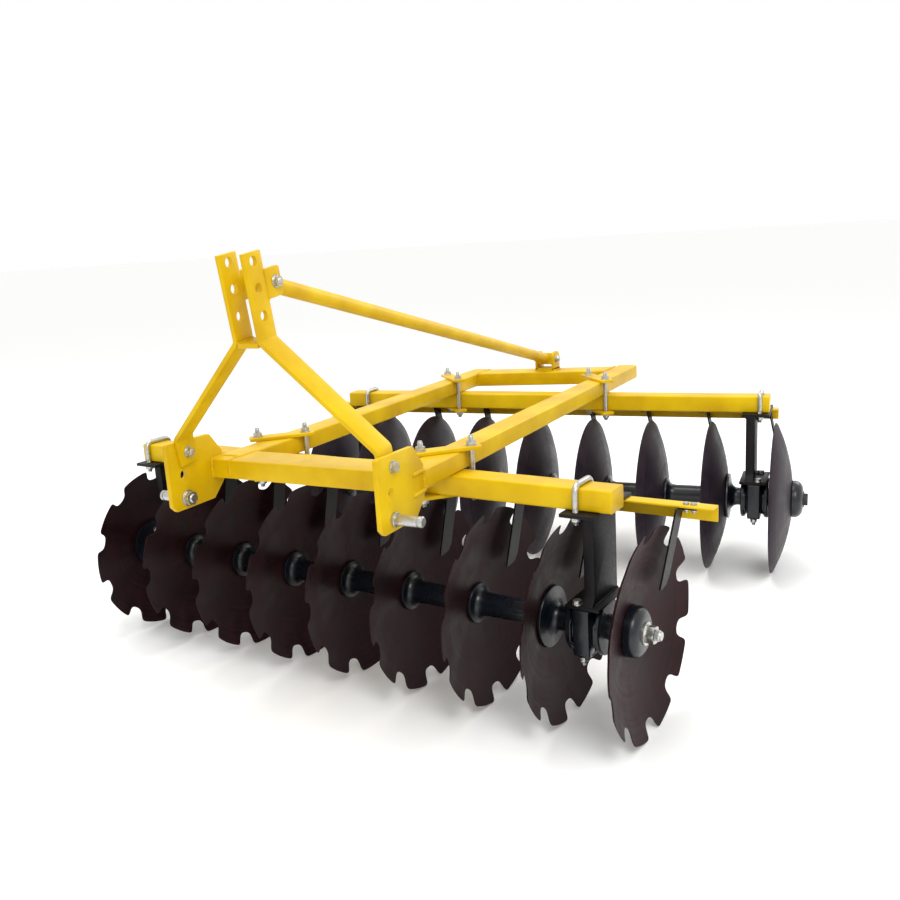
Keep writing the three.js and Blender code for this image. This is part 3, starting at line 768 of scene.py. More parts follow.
def drill(piece: bpy.types.Object, place: Matrix, holes: Iterable[tuple[Point, Point, float]]) -> None:
    """Cuts round holes through a finished piece.

    Args:
        piece: the piece, whose mesh is replaced by the drilled one.
        place: from the sub-assembly's frame to the row frame.
        holes: start and end of each hole's axis, and its radius, in the sub-assembly's frame.
    """
    tool = Workpiece(f"{piece.name}_drill")
    for start, end, radius in holes:
        tool.rod(radius, start, end, chamfer=0.01, sides=40)
    bmesh.ops.transform(tool.mesh, matrix=place, verts=tool.mesh.verts)
    data = bpy.data.meshes.new(tool.name)
    tool.mesh.to_mesh(data)
    tool.mesh.free()
    cutter = bpy.data.objects.new(tool.name, data)
    bpy.context.scene.collection.objects.link(cutter)
    cut = piece.modifiers.new("drill", "BOOLEAN")
    cut.operation, cut.solver, cut.object = "DIFFERENCE", "EXACT", cutter
    bpy.context.view_layer.update()
    drilled = bpy.data.meshes.new_from_object(piece.evaluated_get(bpy.context.evaluated_depsgraph_get()))
    piece.modifiers.clear()
    old, piece.data = piece.data, drilled
    bpy.data.meshes.remove(old)
    bpy.data.objects.remove(cutter)
    bpy.data.meshes.remove(data)
    bm = bmesh.new()
    bm.from_mesh(drilled)
    mark_creases(bm, CREASE)
    bm.to_mesh(drilled)
    bm.free()


# ---------------------------------------------------------------- the layout


def layout_origin() -> Vector:
    """The middle of the front cross beam's front edge, on the ground, in metres."""
    low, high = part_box("front_cross_beam")
    return Vector(((low.x + high.x) / 2, low.y, 0.0))


ORIGIN = layout_origin()
LAYOUT = Matrix.Translation(ORIGIN) @ Matrix.Scale(MM, 4)
X, Y, Z = Vector((1, 0, 0)), Vector((0, 1, 0)), Vector((0, 0, 1))


def reach(node: str) -> tuple[tuple[float, float], ...]:
    """Looks up how far a CAD node reaches.

    Args:
        node: the node's name.

    Returns:
        Its least and greatest x, y and z, in millimetres from the layout's origin.
    """
    low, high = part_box(node)
    a, b = (low - ORIGIN) / MM, (high - ORIGIN) / MM
    return (a.x, b.x), (a.y, b.y), (a.z, b.z)


@dataclass(frozen=True)
class Levels:
    """The heights and clearances that the sub-assemblies share.

    Faces that bear on each other stand a seat apart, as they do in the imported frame.
    """

    seat: float = 0.3
    plate: float = 10.0
    beam_bottom: float = 603.0
    beam_height: float = 60.0
    side_height: float = 55.0

    @property
    def deck(self) -> float:
        """The top of the gang beams."""
        return self.beam_bottom + self.beam_height

    @property
    def side_bottom(self) -> float:
        """The underside of the side beams."""
        return self.deck + self.seat

    @property
    def side_top(self) -> float:
        """The top of the side beams."""
        return self.side_bottom + self.side_height

    @property
    def arm_plate(self) -> tuple[float, float]:
        """Bottom and top of the plates under the gang beams."""
        return self.beam_bottom - self.seat - self.plate, self.beam_bottom - self.seat


LEVELS = Levels()


# ---------------------------------------------------------------- discs


@dataclass(frozen=True)
class Disc:
    """A dished disc: a flat centre, a spherical dish and a rim that is ground thin on its back."""

    notched: bool
    radius: float = 280.0
    thickness: float = 5.0
    dish: float = 60.0
    flat_radius: float = 62.0
    notches: int = 10
    ground_edge: float = 6.5
    edge_thickness: float = 1.4
    plain_stations: int = 120
    # The rings between the rim and the bore, which is the last.
    rings: tuple[float, ...] = (224.0, 196.0, 162.0, 128.0, 98.0, 76.0, 62.0, 52.0, 20.0)
    # Half of a notch and tooth, as arc length from the notch's middle and radius.
    half_notch: tuple[tuple[float, float], ...] = (
        (0, 240.0), (9, 240.4), (17, 242.6), (23.5, 247.0), (27.5, 253.5), (29.5, 261.0), (31, 268.0),
        (33.5, 274.5), (38.5, 278.8), (46, 280.0), (60, 280.0), (74, 280.0))

    def depth(self, radius: float) -> float:
        """Works out how far the disc's back lies from its flat centre.

        Args:
            radius: from the disc's axis.

        Returns:
            The depth at that radius.
        """
        if radius <= self.flat_radius:
            return 0.0
        span = self.radius**2 - self.flat_radius**2
        centre = (span + self.dish**2) / (2 * self.dish)
        return centre - math.sqrt(centre**2 + self.flat_radius**2 - radius**2)

    def outline(self) -> list[tuple[float, float]]:
        """Draws the rim.

        Returns:
            The rim once round, as pairs of angle and radius.
        """
        if not self.notched:
            step = 2 * math.pi / self.plain_stations
            return [(k * step, self.radius) for k in range(self.plain_stations)]
        pitch = 2 * math.pi / self.notches
        half = [(arc / self.radius, radius) for arc, radius in self.half_notch]
        one = half + [(pitch / 2, self.radius)] + [(pitch - a, r) for a, r in reversed(half[1:])]
        return [(notch * pitch + a, r) for notch in range(self.notches) for a, r in one]

    def inset(self, rim: list[tuple[float, float]]) -> list[tuple[float, float]]:
        """Moves the rim in by the width of its ground edge.

        Args:
            rim: pairs of angle and radius.

        Returns:
            As many pairs, each at a right angle to the rim.
        """
        made = []
        for k, (angle, radius) in enumerate(rim):
            before, after = rim[k - 1], rim[(k + 1) % len(rim)]
            around = (after[0] - before[0]) % (2 * math.pi) * radius
            outward = after[1] - before[1]
            length = math.hypot(around, outward)
            made.append((angle + outward / length * self.ground_edge / radius,
                         radius - around / length * self.ground_edge))
        return made

    def build(self, at: float, phase: float) -> bmesh.types.BMesh:
        """Builds the disc from a ring that is extruded in over the back and out over the front.

        Args:
            at: where its flat centre's back lies along the gang.
            phase: how far its first notch is turned from the bottom.

        Returns:
            The disc's mesh, with a UV map that goes once round in U and has the radius in V.
        """
        rim = self.outline()
        count = len(rim)
        even = [[(k * 2 * math.pi / count, r) for k in range(count)] for r in self.rings]
        inner = self.inset(rim)
        # Each ring of the section: its outline, and how far it stands in front of the dish's back.
        section = [(rim, self.thickness - self.edge_thickness), (inner, 0.0)]
        section += [(ring, 0.0) for ring in even]
        section += [(ring, self.thickness) for ring in reversed(even)]
        section += [(inner, self.thickness), (rim, self.thickness)]
        form = bmesh.new()
        station = form.verts.layers.int.new("station")
        ring = bmesh.ops.create_circle(form, cap_ends=False, segments=count, radius=self.radius)["verts"]
        for k, vert in enumerate(ring):
            vert[station] = k
        edges = list(form.edges)
        first = edges

        def settle(verts: Iterable[bmesh.types.BMVert], shape: Outline, lift: float) -> None:
            """Moves a ring's vertices onto the section.

            Args:
                verts: the vertices, which know their station.
                shape: the ring's angle and radius at each station.
                lift: how far the ring stands in front of the dish's back.
            """
            for vert in verts:
                angle, radius = shape[vert[station]]
                turn = angle + phase
                vert.co = (at + self.depth(radius) + lift,
                           radius * math.sin(turn), -radius * math.cos(turn))

        settle(ring, *section[0])
        for shape, lift in section[1:]:
            made = bmesh.ops.extrude_edge_only(form, edges=edges)["geom"]
            verts = {g for g in made if isinstance(g, bmesh.types.BMVert)}
            edges = [g for g in made if isinstance(g, bmesh.types.BMEdge) and set(g.verts) <= verts]
            settle(verts, shape, lift)
        bmesh.ops.bridge_loops(form, edges=first + edges)
        bmesh.ops.recalc_face_normals(form, faces=form.faces)
        own = form.loops.layers.uv.new("disc")
        for face in form.faces:
            stations = [loop.vert[station] for loop in face.loops]
            wraps = max(stations) - min(stations) > count / 2
            for loop, k in zip(face.loops, stations):
                across = math.hypot(loop.vert.co.y, loop.vert.co.z)
                loop[own].uv = ((k + count if wraps and k == 0 else k) / count, across * MM)
        return form


# ---------------------------------------------------------------- gangs


@dataclass(frozen=True)
class Gang:
    """One row of discs on a turning shaft, the beam that it hangs from and its scrapers.

    Its frame runs along the shaft, towards the hollow side of the discs, with z from the ground.
    """

    name: str
    notched: bool
    reversed_run: bool
    rear_side: int
    beam_lead: float
    finish: DiscLacquer
    slot: Slot
    scraper_setback: float = 118.0
    discs: int = 9
    pitch: float = 230.0
    axis_height: float = 280.0
    bearing_shift: float = 15.0
    spool_radius: float = 33.0
    spool_bell: float = 57.0
    spool_bell_length: float = 42.0
    bearing_bell: float = 84.0
    bearing_bell_length: float = 38.0
    bell_edge: float = 8.0
    cap_radius: float = 68.0
    cap_length: float = 42.0
    back_cap_length: float = 38.0
    head_length: float = 16.0
    nut_radius: float = 25.0
    nut_length: float = 26.0
    tip_radius: float = 15.0
    tip_length: float = 16.0
    beam_depth: float = 80.0
    # How far the beam runs past the middles of the two bearings.
    beam_ends: tuple[float, float] = (44.5, 80.5)
    arm_thickness: float = 30.0
    arm_shift: float = 17.0
    u_bolt_shift: float = 13.0
    u_bolt_bend: float = 20.0
    arm_lead: float = 52.5
    arm_reach: float = 92.0
    arm_plate_width: float = 96.0
    arm_plate_margin: float = 18.0
    arm_heel: float = 34.0
    arm_toe: float = 8.0
    arm_corner: float = 22.0
    arm_tuck: float = 4.0
    arm_legs: tuple[float, float] = (4.0, 3.2)
    arm_foot: tuple[float, float] = (44.0, 52.0)
    arm_foot_height: float = 9.0
    bearing_bore: float = 33.5
    bearing_radius: float = 62.0
    bearing_flange_radius: float = 75.0
    bearing_length: float = 96.0
    # The housing's block: its width along the gang, its depth and its height.
    block: tuple[float, float, float] = (46.0, 156.0, 132.0)
    lug_gap: float = 6.0
    lug_radii: tuple[float, float] = (12.0, 6.0)
    rib_stand: float = 11.0
    rib_thickness: float = 7.0
    floor_inset: float = 14.0
    floor_thickness: float = 12.0
    housing_bolt_shift: float = 14.0
    housing_bolt_inset: float = 16.0
    bolt_gap: float = 0.6
    scraper_bar: float = 45.0
    scraper_wall: float = 5.0
    blade_width: float = 60.0
    blade_top: float = 92.0
    blade_tip: float = 46.0
    blade_tip_height: float = 357.0
    blade_thickness: float = 5.0
    blade_foot: float = 46.0
    blade_bolts: tuple[float, float] = (14.0, 34.0)
    # The discs that stand with a tooth at the bottom, counted from nought.
    teeth_down: tuple[int, ...] = (1, 2, 3, 4)

    @property
    def place(self) -> Matrix:
        """Works out where the gang stands from the pivot and axis of its joint.

        Returns:
            The transform from the gang's frame in millimetres to the row frame in metres.
        """
        joint = next(j for j in frame["joints"] if j["name"] == f"{self.name}_gang_spin")
        run = Vector(joint["axis"])
        turn = math.atan2(run.y, run.x) + (math.pi if self.reversed_run else 0.0)
        spot = Vector((joint["pos_m"][0], joint["pos_m"][1], 0.0))
        return Matrix.Translation(spot) @ Matrix.Rotation(turn, 4, "Z") @ Matrix.Scale(MM, 4)

    @property
    def turning(self) -> str:
        """The body that turns."""
        return f"{self.name}_gang"

    def disc_at(self, index: int) -> float:
        """Where a disc's flat centre lies along the gang."""
        return (index - (self.discs - 1) / 2) * self.pitch

    @property
    def bearing_bays(self) -> tuple[int, int]:
        """The bays between discs that hold a bearing."""
        return 0, self.discs - 2

    def bearing_at(self, bay: int) -> float:
        """The middle of a bearing along the gang."""
        return self.disc_at(bay) + self.pitch / 2 + self.bearing_shift

    @property
    def axle(self) -> Vector:
        """The middle of the shaft."""
        return Vector((0, 0, self.axis_height))

    def build(self) -> None:
        """Builds the whole gang."""
        self.build_discs()
        self.build_spools()
        self.build_ends()
        self.build_beam()
        self.build_scrapers()
        for number, bay in enumerate(self.bearing_bays, 1):
            self.build_arm(number, self.bearing_at(bay))
            self.build_u_bolt(number, self.bearing_at(bay) - self.u_bolt_shift)

    def build_discs(self) -> None:
        """Builds the discs, each in its own place and turn."""
        disc = Disc(self.notched)
        raise_to_axle = Matrix.Translation(self.axle)
        for index in range(self.discs):
            phase = math.pi / disc.notches if index in self.teeth_down else 0.0
            form = disc.build(self.disc_at(index), phase)
            piece = Workpiece(f"{self.name}_dished_disc_{index + 1}", form)
            piece.finish(self.place @ raise_to_axle, self.finish, self.slot, self.turning,
                         [f"{self.name}_disc_{index + 1}"], crease=40)

    def flare(self, edge: float, toward: int, radius: float, length: float) -> list[tuple[float, float]]:
        """A bell's hollow curve, from its outer edge down to the spool's tube.

        Args:
            edge: where the bell's rounded edge stands.
            toward: 1 if the tube lies ahead of the edge, -1 if behind.
            radius: the bell's radius.
            length: from the edge to the tube.

        Returns:
            Pairs of place and radius, from the edge to the tube.
        """
        steps, hollow = 9, 2.3
        drop = radius - self.spool_radius
        curve = []
        for k in range(steps + 1):
            share = k / steps
            curve.append((edge + toward * length * share,
                          self.spool_radius + drop * (1 - math.sqrt(1 - (1 - share) ** hollow))))
        return curve

    def build_spools(self) -> None:
        """Builds the cast spools between the discs, a bell at each end."""
        disc = Disc(self.notched)
        seat = LEVELS.seat
        for bay in range(self.discs - 1):
            bearing = bay in self.bearing_bays
            bell = self.bearing_bell if bearing else self.spool_bell
            length = self.bearing_bell_length if bearing else self.spool_bell_length
            start = self.disc_at(bay) + disc.thickness + seat
            end = self.disc_at(bay + 1) - seat
            clear = start + disc.depth(bell) + seat
            rim, edge = self.bell_edge, 1.5
            ahead = self.flare(clear + rim, 1, bell - 3, length - rim)
            behind = self.flare(end - rim, -1, bell - 3, length - rim)
            profile = [(start, 0), (start, min(bell, disc.flat_radius) - 1), (clear, bell - edge),
                       (clear + edge, bell), (clear + rim - 2, bell), (clear + rim - 0.6, bell - 0.8),
                       *ahead, *reversed(behind),
                       (end - rim + 0.6, bell - 0.8), (end - rim + 2, bell),
                       (end - edge, bell), (end, bell - edge), (end, 0)]
            spool = Workpiece(f"{self.name}_spool_{bay + 1}")
            spool.turned(profile, self.axle, X, TURNED_SIDES)
            spool.finish(self.place, CASTING, Slot.BLACK, self.turning,
                         [f"{self.name}_gang_shaft"] if bay == 0 else ())

    def dome(self, face: float, toward: int, seat_radius: float, clear: float, length: float,
             straight: float) -> list[tuple[float, float]]:
        """An end cap's profile, from the disc out to the nut.

        Args:
            face: where the cap seats on the disc.
            toward: 1 if the cap stands ahead of its seat, -1 if behind.
            seat_radius: how much of it seats.
            clear: how far its rim stands off the seat.
            length: from the seat to the nut.
            straight: how much of that is as wide as the rim.

        Returns:
            Pairs of place and radius.
        """
        edge, steps = 1.5, 8
        made = [(face, 0), (face, seat_radius), (face + toward * clear, self.cap_radius - edge),
                (face + toward * (clear + edge), self.cap_radius)]
        flat = self.nut_radius + 9
        for k in range(steps + 1):
            bend = k / steps * math.pi / 2
            made.append((face + toward * (straight + (length - straight) * math.sin(bend)),
                         flat + (self.cap_radius - flat) * math.cos(bend)))
        return made + [(face + toward * length, 0)]

    def build_ends(self) -> None:
        """Builds the end caps, the nut that clamps the gang and the shaft's head at its other end."""
        disc = Disc(self.notched)
        seat = LEVELS.seat
        hollow = self.disc_at(self.discs - 1) + disc.thickness + seat
        back = self.disc_at(0) - seat
        caps = Workpiece(f"{self.name}_end_caps")
        clear = disc.depth(self.cap_radius) + seat
        for cap in (self.dome(hollow, 1, disc.flat_radius - 1, clear, self.cap_length, 18.0),
                    self.dome(back, -1, self.cap_radius - 1.5, 0.0, self.back_cap_length, 9.0)):
            caps.turned(cap, self.axle, X, TURNED_SIDES)
        caps.finish(self.place, CASTING, Slot.BLACK, self.turning)
        sink, stand, washer = 0.5, 3, 4
        nut = Workpiece(f"{self.name}_bright_shaft_nut")
        start = self.axle + X * (hollow + self.cap_length)
        nut.washer(self.nut_radius + 6, start - X * sink, X, washer)
        nut.hexagon(self.nut_radius, start + X * stand, X, self.nut_length - stand, 0.3)
        nut.thread(self.tip_radius, start + X * (self.nut_length - 1), X, self.tip_length + 1, 3.0)
        nut.finish(self.place, ZINC, Slot.ZINC, self.turning)
        head = Workpiece(f"{self.name}_painted_shaft_head")
        face = self.axle + X * (back - self.back_cap_length)
        head.washer(self.nut_radius + 5, face + X * sink, -X, washer)
        head.hexagon(self.nut_radius, face - X * stand, -X, self.head_length - stand, 0.3)
        head.finish(self.place, CASTING, Slot.BLACK, self.turning)

    def build_beam(self) -> None:
        """Builds the box beam that the arms hang from."""
        start = self.bearing_at(self.bearing_bays[0]) - self.beam_ends[0]
        end = self.bearing_at(self.bearing_bays[1]) + self.beam_ends[1]
        half = self.beam_depth / 2
        beam = Workpiece(f"{self.name}_box_beam")
        beam.beam((start, end), (-self.beam_lead - half, -self.beam_lead + half),
                  (LEVELS.beam_bottom, LEVELS.deck), Axis.X, 6.0)
        beam.finish(self.place, YELLOW, Slot.YELLOW, "frame", [f"{self.name}_gang_beam"])

    def build_arm(self, number: int, at: float) -> None:
        """Builds one hanging arm, its bearing housing and the housing's bolts.

        Args:
            number: which of the gang's arms it is, from one.
            at: the middle of its bearing along the gang.
        """
        bottom, top = LEVELS.arm_plate
        side = self.beam_depth / 2 + BOLT.radius * 2 + self.bolt_gap + self.arm_plate_margin
        edge = self.rear_side * (self.scraper_setback + self.scraper_bar)
        y0, y1 = min(-self.beam_lead - side, edge), max(-self.beam_lead + side, edge)
        arm = at + self.arm_shift
        half_arm = self.arm_thickness / 2
        _, depth, height = self.block
        hanger = Workpiece(f"{self.name}_hanger_{number}")
        half_plate = self.arm_plate_width / 2
        hanger.block((at - half_plate, at + half_plate), (y0, y1), (bottom, top), 1.5)
        foot = self.axis_height + height / 2 + 1
        lead, reach_back = -self.rear_side * self.arm_lead, self.rear_side * self.arm_reach
        wide = -self.rear_side * (depth / 2 - 4)
        root, sole = bottom + self.arm_tuck, foot + self.arm_foot_height
        bar = [(lead, root), (lead, foot + self.arm_heel), (wide, foot + self.arm_toe), (wide, foot),
               (reach_back, foot), (reach_back, root)]
        hanger.plate(rounded(bar, {1: self.arm_corner}), Axis.X, arm - half_arm, arm + half_arm, 2.0, 3)
        hanger.block((at - self.arm_foot[0], at + self.arm_foot[1]),
                     (-self.rear_side * (depth / 2 - 2), reach_back), (foot - 1, sole), 2.0)
        plate_leg, foot_leg = self.arm_legs
        for toward in (-1, 1):
            x = arm + toward * half_arm
            hanger.bead((x, lead * 0.95, bottom), (x, reach_back * 0.97, bottom), plate_leg)
            hanger.bead((x, lead, sole), (x, reach_back, sole), foot_leg)
        hanger.finish(self.place, BAR_BLACK, Slot.BLACK, "frame", [f"{self.name}_bearing_arm_{number}"])
        self.build_housing(number, at, foot)
        self.build_housing_bolts(number, at, foot)

    def build_housing(self, number: int, at: float, foot: float) -> None:
        """Builds the cast bearing housing: a flanged barrel in a block with lugs before and behind.

        Args:
            number: which of the gang's bearings it is, from one.
            at: its middle along the gang.
            foot: the underside of the arm's foot.
        """
        width, depth, height = self.block
        axle = self.axis_height
        housing = Workpiece(f"{self.name}_bearing_housing_{number}")
        half = self.bearing_length / 2
        flange, body, bore = self.bearing_flange_radius, self.bearing_radius, self.bearing_bore
        # From an end face inwards: the flange's edge, the flange, its fillet and the barrel.
        end = ((0, bore), (0, flange - 3), (3, flange), (11, flange), (14, flange - 3), (18, body + 3),
               (24, body))
        profile = [(at - half + along, radius) for along, radius in end]
        profile += [(at + half - along, radius) for along, radius in reversed(end)]
        housing.turned(profile + profile[:1], self.axle, X, TURNED_SIDES)
        low = axle - height / 2
        for toward in (-1, 1):
            y = toward * depth / 2
            inner = toward * (bore + self.lug_gap)
            lug = [(y, low), (y, foot - 2), (inner, foot - 2), (inner, low)]
            housing.plate(rounded(lug, dict(enumerate(self.lug_radii))), Axis.X, at - width / 2,
                          at + width / 2, 4.0, 3)
            for rib in (-1, 1):
                x = at + rib * (width / 2 + self.rib_stand)
                gusset = [(toward * (body + out), axle + up)
                          for out, up in ((-6, -40), (13, -24), (13, 24), (-6, 40))]
                half_rib = self.rib_thickness / 2
                housing.plate(gusset, Axis.X, x - half_rib, x + half_rib, 1.5)
        half_floor = depth / 2 - self.floor_inset
        housing.block((at - width / 2, at + width / 2), (-half_floor, half_floor),
                      (low, low + self.floor_thickness), 3, 3)
        housing.finish(self.place, CASTING, Slot.BLACK, "frame")

    def build_housing_bolts(self, number: int, at: float, foot: float) -> None:
        """Builds the bolts through the housing's lugs, their nuts below and a grease nipple.

        Args:
            number: which of the gang's bearings they belong to, from one.
            at: the bearing's middle along the gang.
            foot: the underside of the arm's foot.
        """
        _, depth, height = self.block
        low = self.axis_height - height / 2
        bolts = Workpiece(f"{self.name}_housing_bolts_{number}")
        for toward in (-1, 1):
            y = toward * (depth / 2 - self.housing_bolt_inset)
            head = Vector((at - self.housing_bolt_shift, y, foot + self.arm_foot_height))
            bolts.nut_on(head, Z, (14, 3), 12, 9, 0.4 * toward)
            nut = Vector((at, y, low))
            bolts.nut_on(nut, -Z, (13, 2.5), 11.5, 10, 0.4)
            bolts.thread(7, nut - Z * 12, -Z, 12)
        nipple = self.axle + Vector((at - self.housing_bolt_shift, -self.bearing_radius + 1, 14))
        bolts.turned([(0, 0), (0, 3.5), (4, 3.5), (4.5, 2), (7, 2), (8, 3), (10, 2.4), (10, 0)], nipple,
                     Vector((0, -0.98, 0.2)).normalized(), 16)
        bolts.finish(self.place, ZINC, Slot.ZINC, "frame")

    def build_u_bolt(self, number: int, at: float) -> None:
        """Builds the U-bolt over the beam, with its washers and nuts under the arm's plate.

        Args:
            number: which of the gang's U-bolts it is, from one.
            at: the plane that it is bent in.
        """
        offset = self.beam_depth / 2 + BOLT.radius + self.bolt_gap
        bottom = LEVELS.arm_plate[0]
        nut_radius, nut_height = BOLT.nut
        tip = bottom - nut_height - BOLT.tip
        top = LEVELS.deck + self.bolt_gap + BOLT.radius
        left, right = -self.beam_lead - offset, -self.beam_lead + offset
        bend, steps = self.u_bolt_bend, 7
        shank = bottom + 20
        path = [(left, shank)]
        for middle, first in ((left + bend, math.pi), (right - bend, math.pi / 2)):
            for k in range(steps + 1):
                turn = first - k / steps * math.pi / 2
                path.append((middle + bend * math.cos(turn), top - bend + bend * math.sin(turn)))
        path.append((right, shank))
        bolt = Workpiece(f"{self.name}_bent_bolt_{number}")
        bolt.bent_rod(BOLT.radius, at, path)
        for y in (left, right):
            bolt.thread(BOLT.radius, Vector((at, y, shank + 1)), -Z, shank + 1 - tip)
            bolt.nut_on(Vector((at, y, bottom)), -Z, (nut_radius + 2, 3), nut_radius, nut_height - 3,
                        0.35 if y < 0 else 0.1)
        bolt.finish(self.place, ZINC, Slot.ZINC, "frame", [f"{self.name}_u_bolt_{number}"])

    def build_scrapers(self) -> None:
        """Builds the angle bar behind the discs and the blades that reach into their hollows."""
        side, wall, size = self.rear_side, self.scraper_wall, self.scraper_bar
        top = LEVELS.arm_plate[0] - LEVELS.seat
        near = side * self.scraper_setback
        far = near + side * size
        start = self.disc_at(0) + self.blade_top - self.blade_width / 2
        end = self.disc_at(self.discs - 1) + self.blade_top + self.blade_width * 1.5
        angle = [(near, top), (far, top), (far, top - size), (far - side * wall, top - size),
                 (far - side * wall, top - wall), (near, top - wall)]
        bar = Workpiece(f"{self.name}_scraper_angle")
        bar.plate(rounded(angle, {1: 3.0, 4: 5.0}, 3), Axis.X, start, end, 0.8, 2)
        bar.finish(self.place, YELLOW, Slot.YELLOW, "frame", [f"{self.name}_scraper_bar"])

        blades = Workpiece(f"{self.name}_scraper_blades")
        bolts = Workpiece(f"{self.name}_scraper_bolts")
        shelf = top - wall
        rise = shelf - self.blade_tip_height
        slant = math.atan2(self.blade_top - self.blade_tip, rise)
        length = math.hypot(rise, self.blade_top - self.blade_tip)
        inner = far - side * (wall + 0.4)
        edge = far - side * (wall / 2 + self.blade_width)
        shape = [(edge, -length), (inner - side * 14, -length + 4), (inner, -length + 26), (inner, 0),
                 (edge, 0)]
        middle, nut_radius, thick = (near + inner) / 2, 8.5, self.blade_thickness
        for index in range(self.discs):
            x = self.disc_at(index) + self.blade_top
            swing = Matrix.Translation((x, 0, shelf)) @ Matrix.Rotation(slant, 4, "Y")
            blades.plate(rounded(shape, {0: 6, 1: 14, 2: 20}, 4), Axis.X, -thick / 2, thick / 2, 0.7, 1,
                         swing)
            blades.block((x, x + self.blade_foot), (near + side * 3, inner), (shelf - thick, shelf), 1.0)
            for along in self.blade_bolts:
                under = Vector((x + along, middle, shelf - thick))
                bolts.hexagon(nut_radius, under, -Z, 6.5, along)
                bolts.thread(5, under - Z * 6, -Z, 6, 2.0)
                # An arm's plate lies over the bar where there is a bearing.
                if index not in self.bearing_bays:
                    bolts.hexagon(nut_radius, Vector((x + along, middle, top)), Z, 5.5, along * 0.7)
        blades.finish(self.place, BAR_BLACK, Slot.BLACK, "frame")
        bolts.finish(self.place, ZINC, Slot.ZINC, "frame")


# ---------------------------------------------------------------- frame


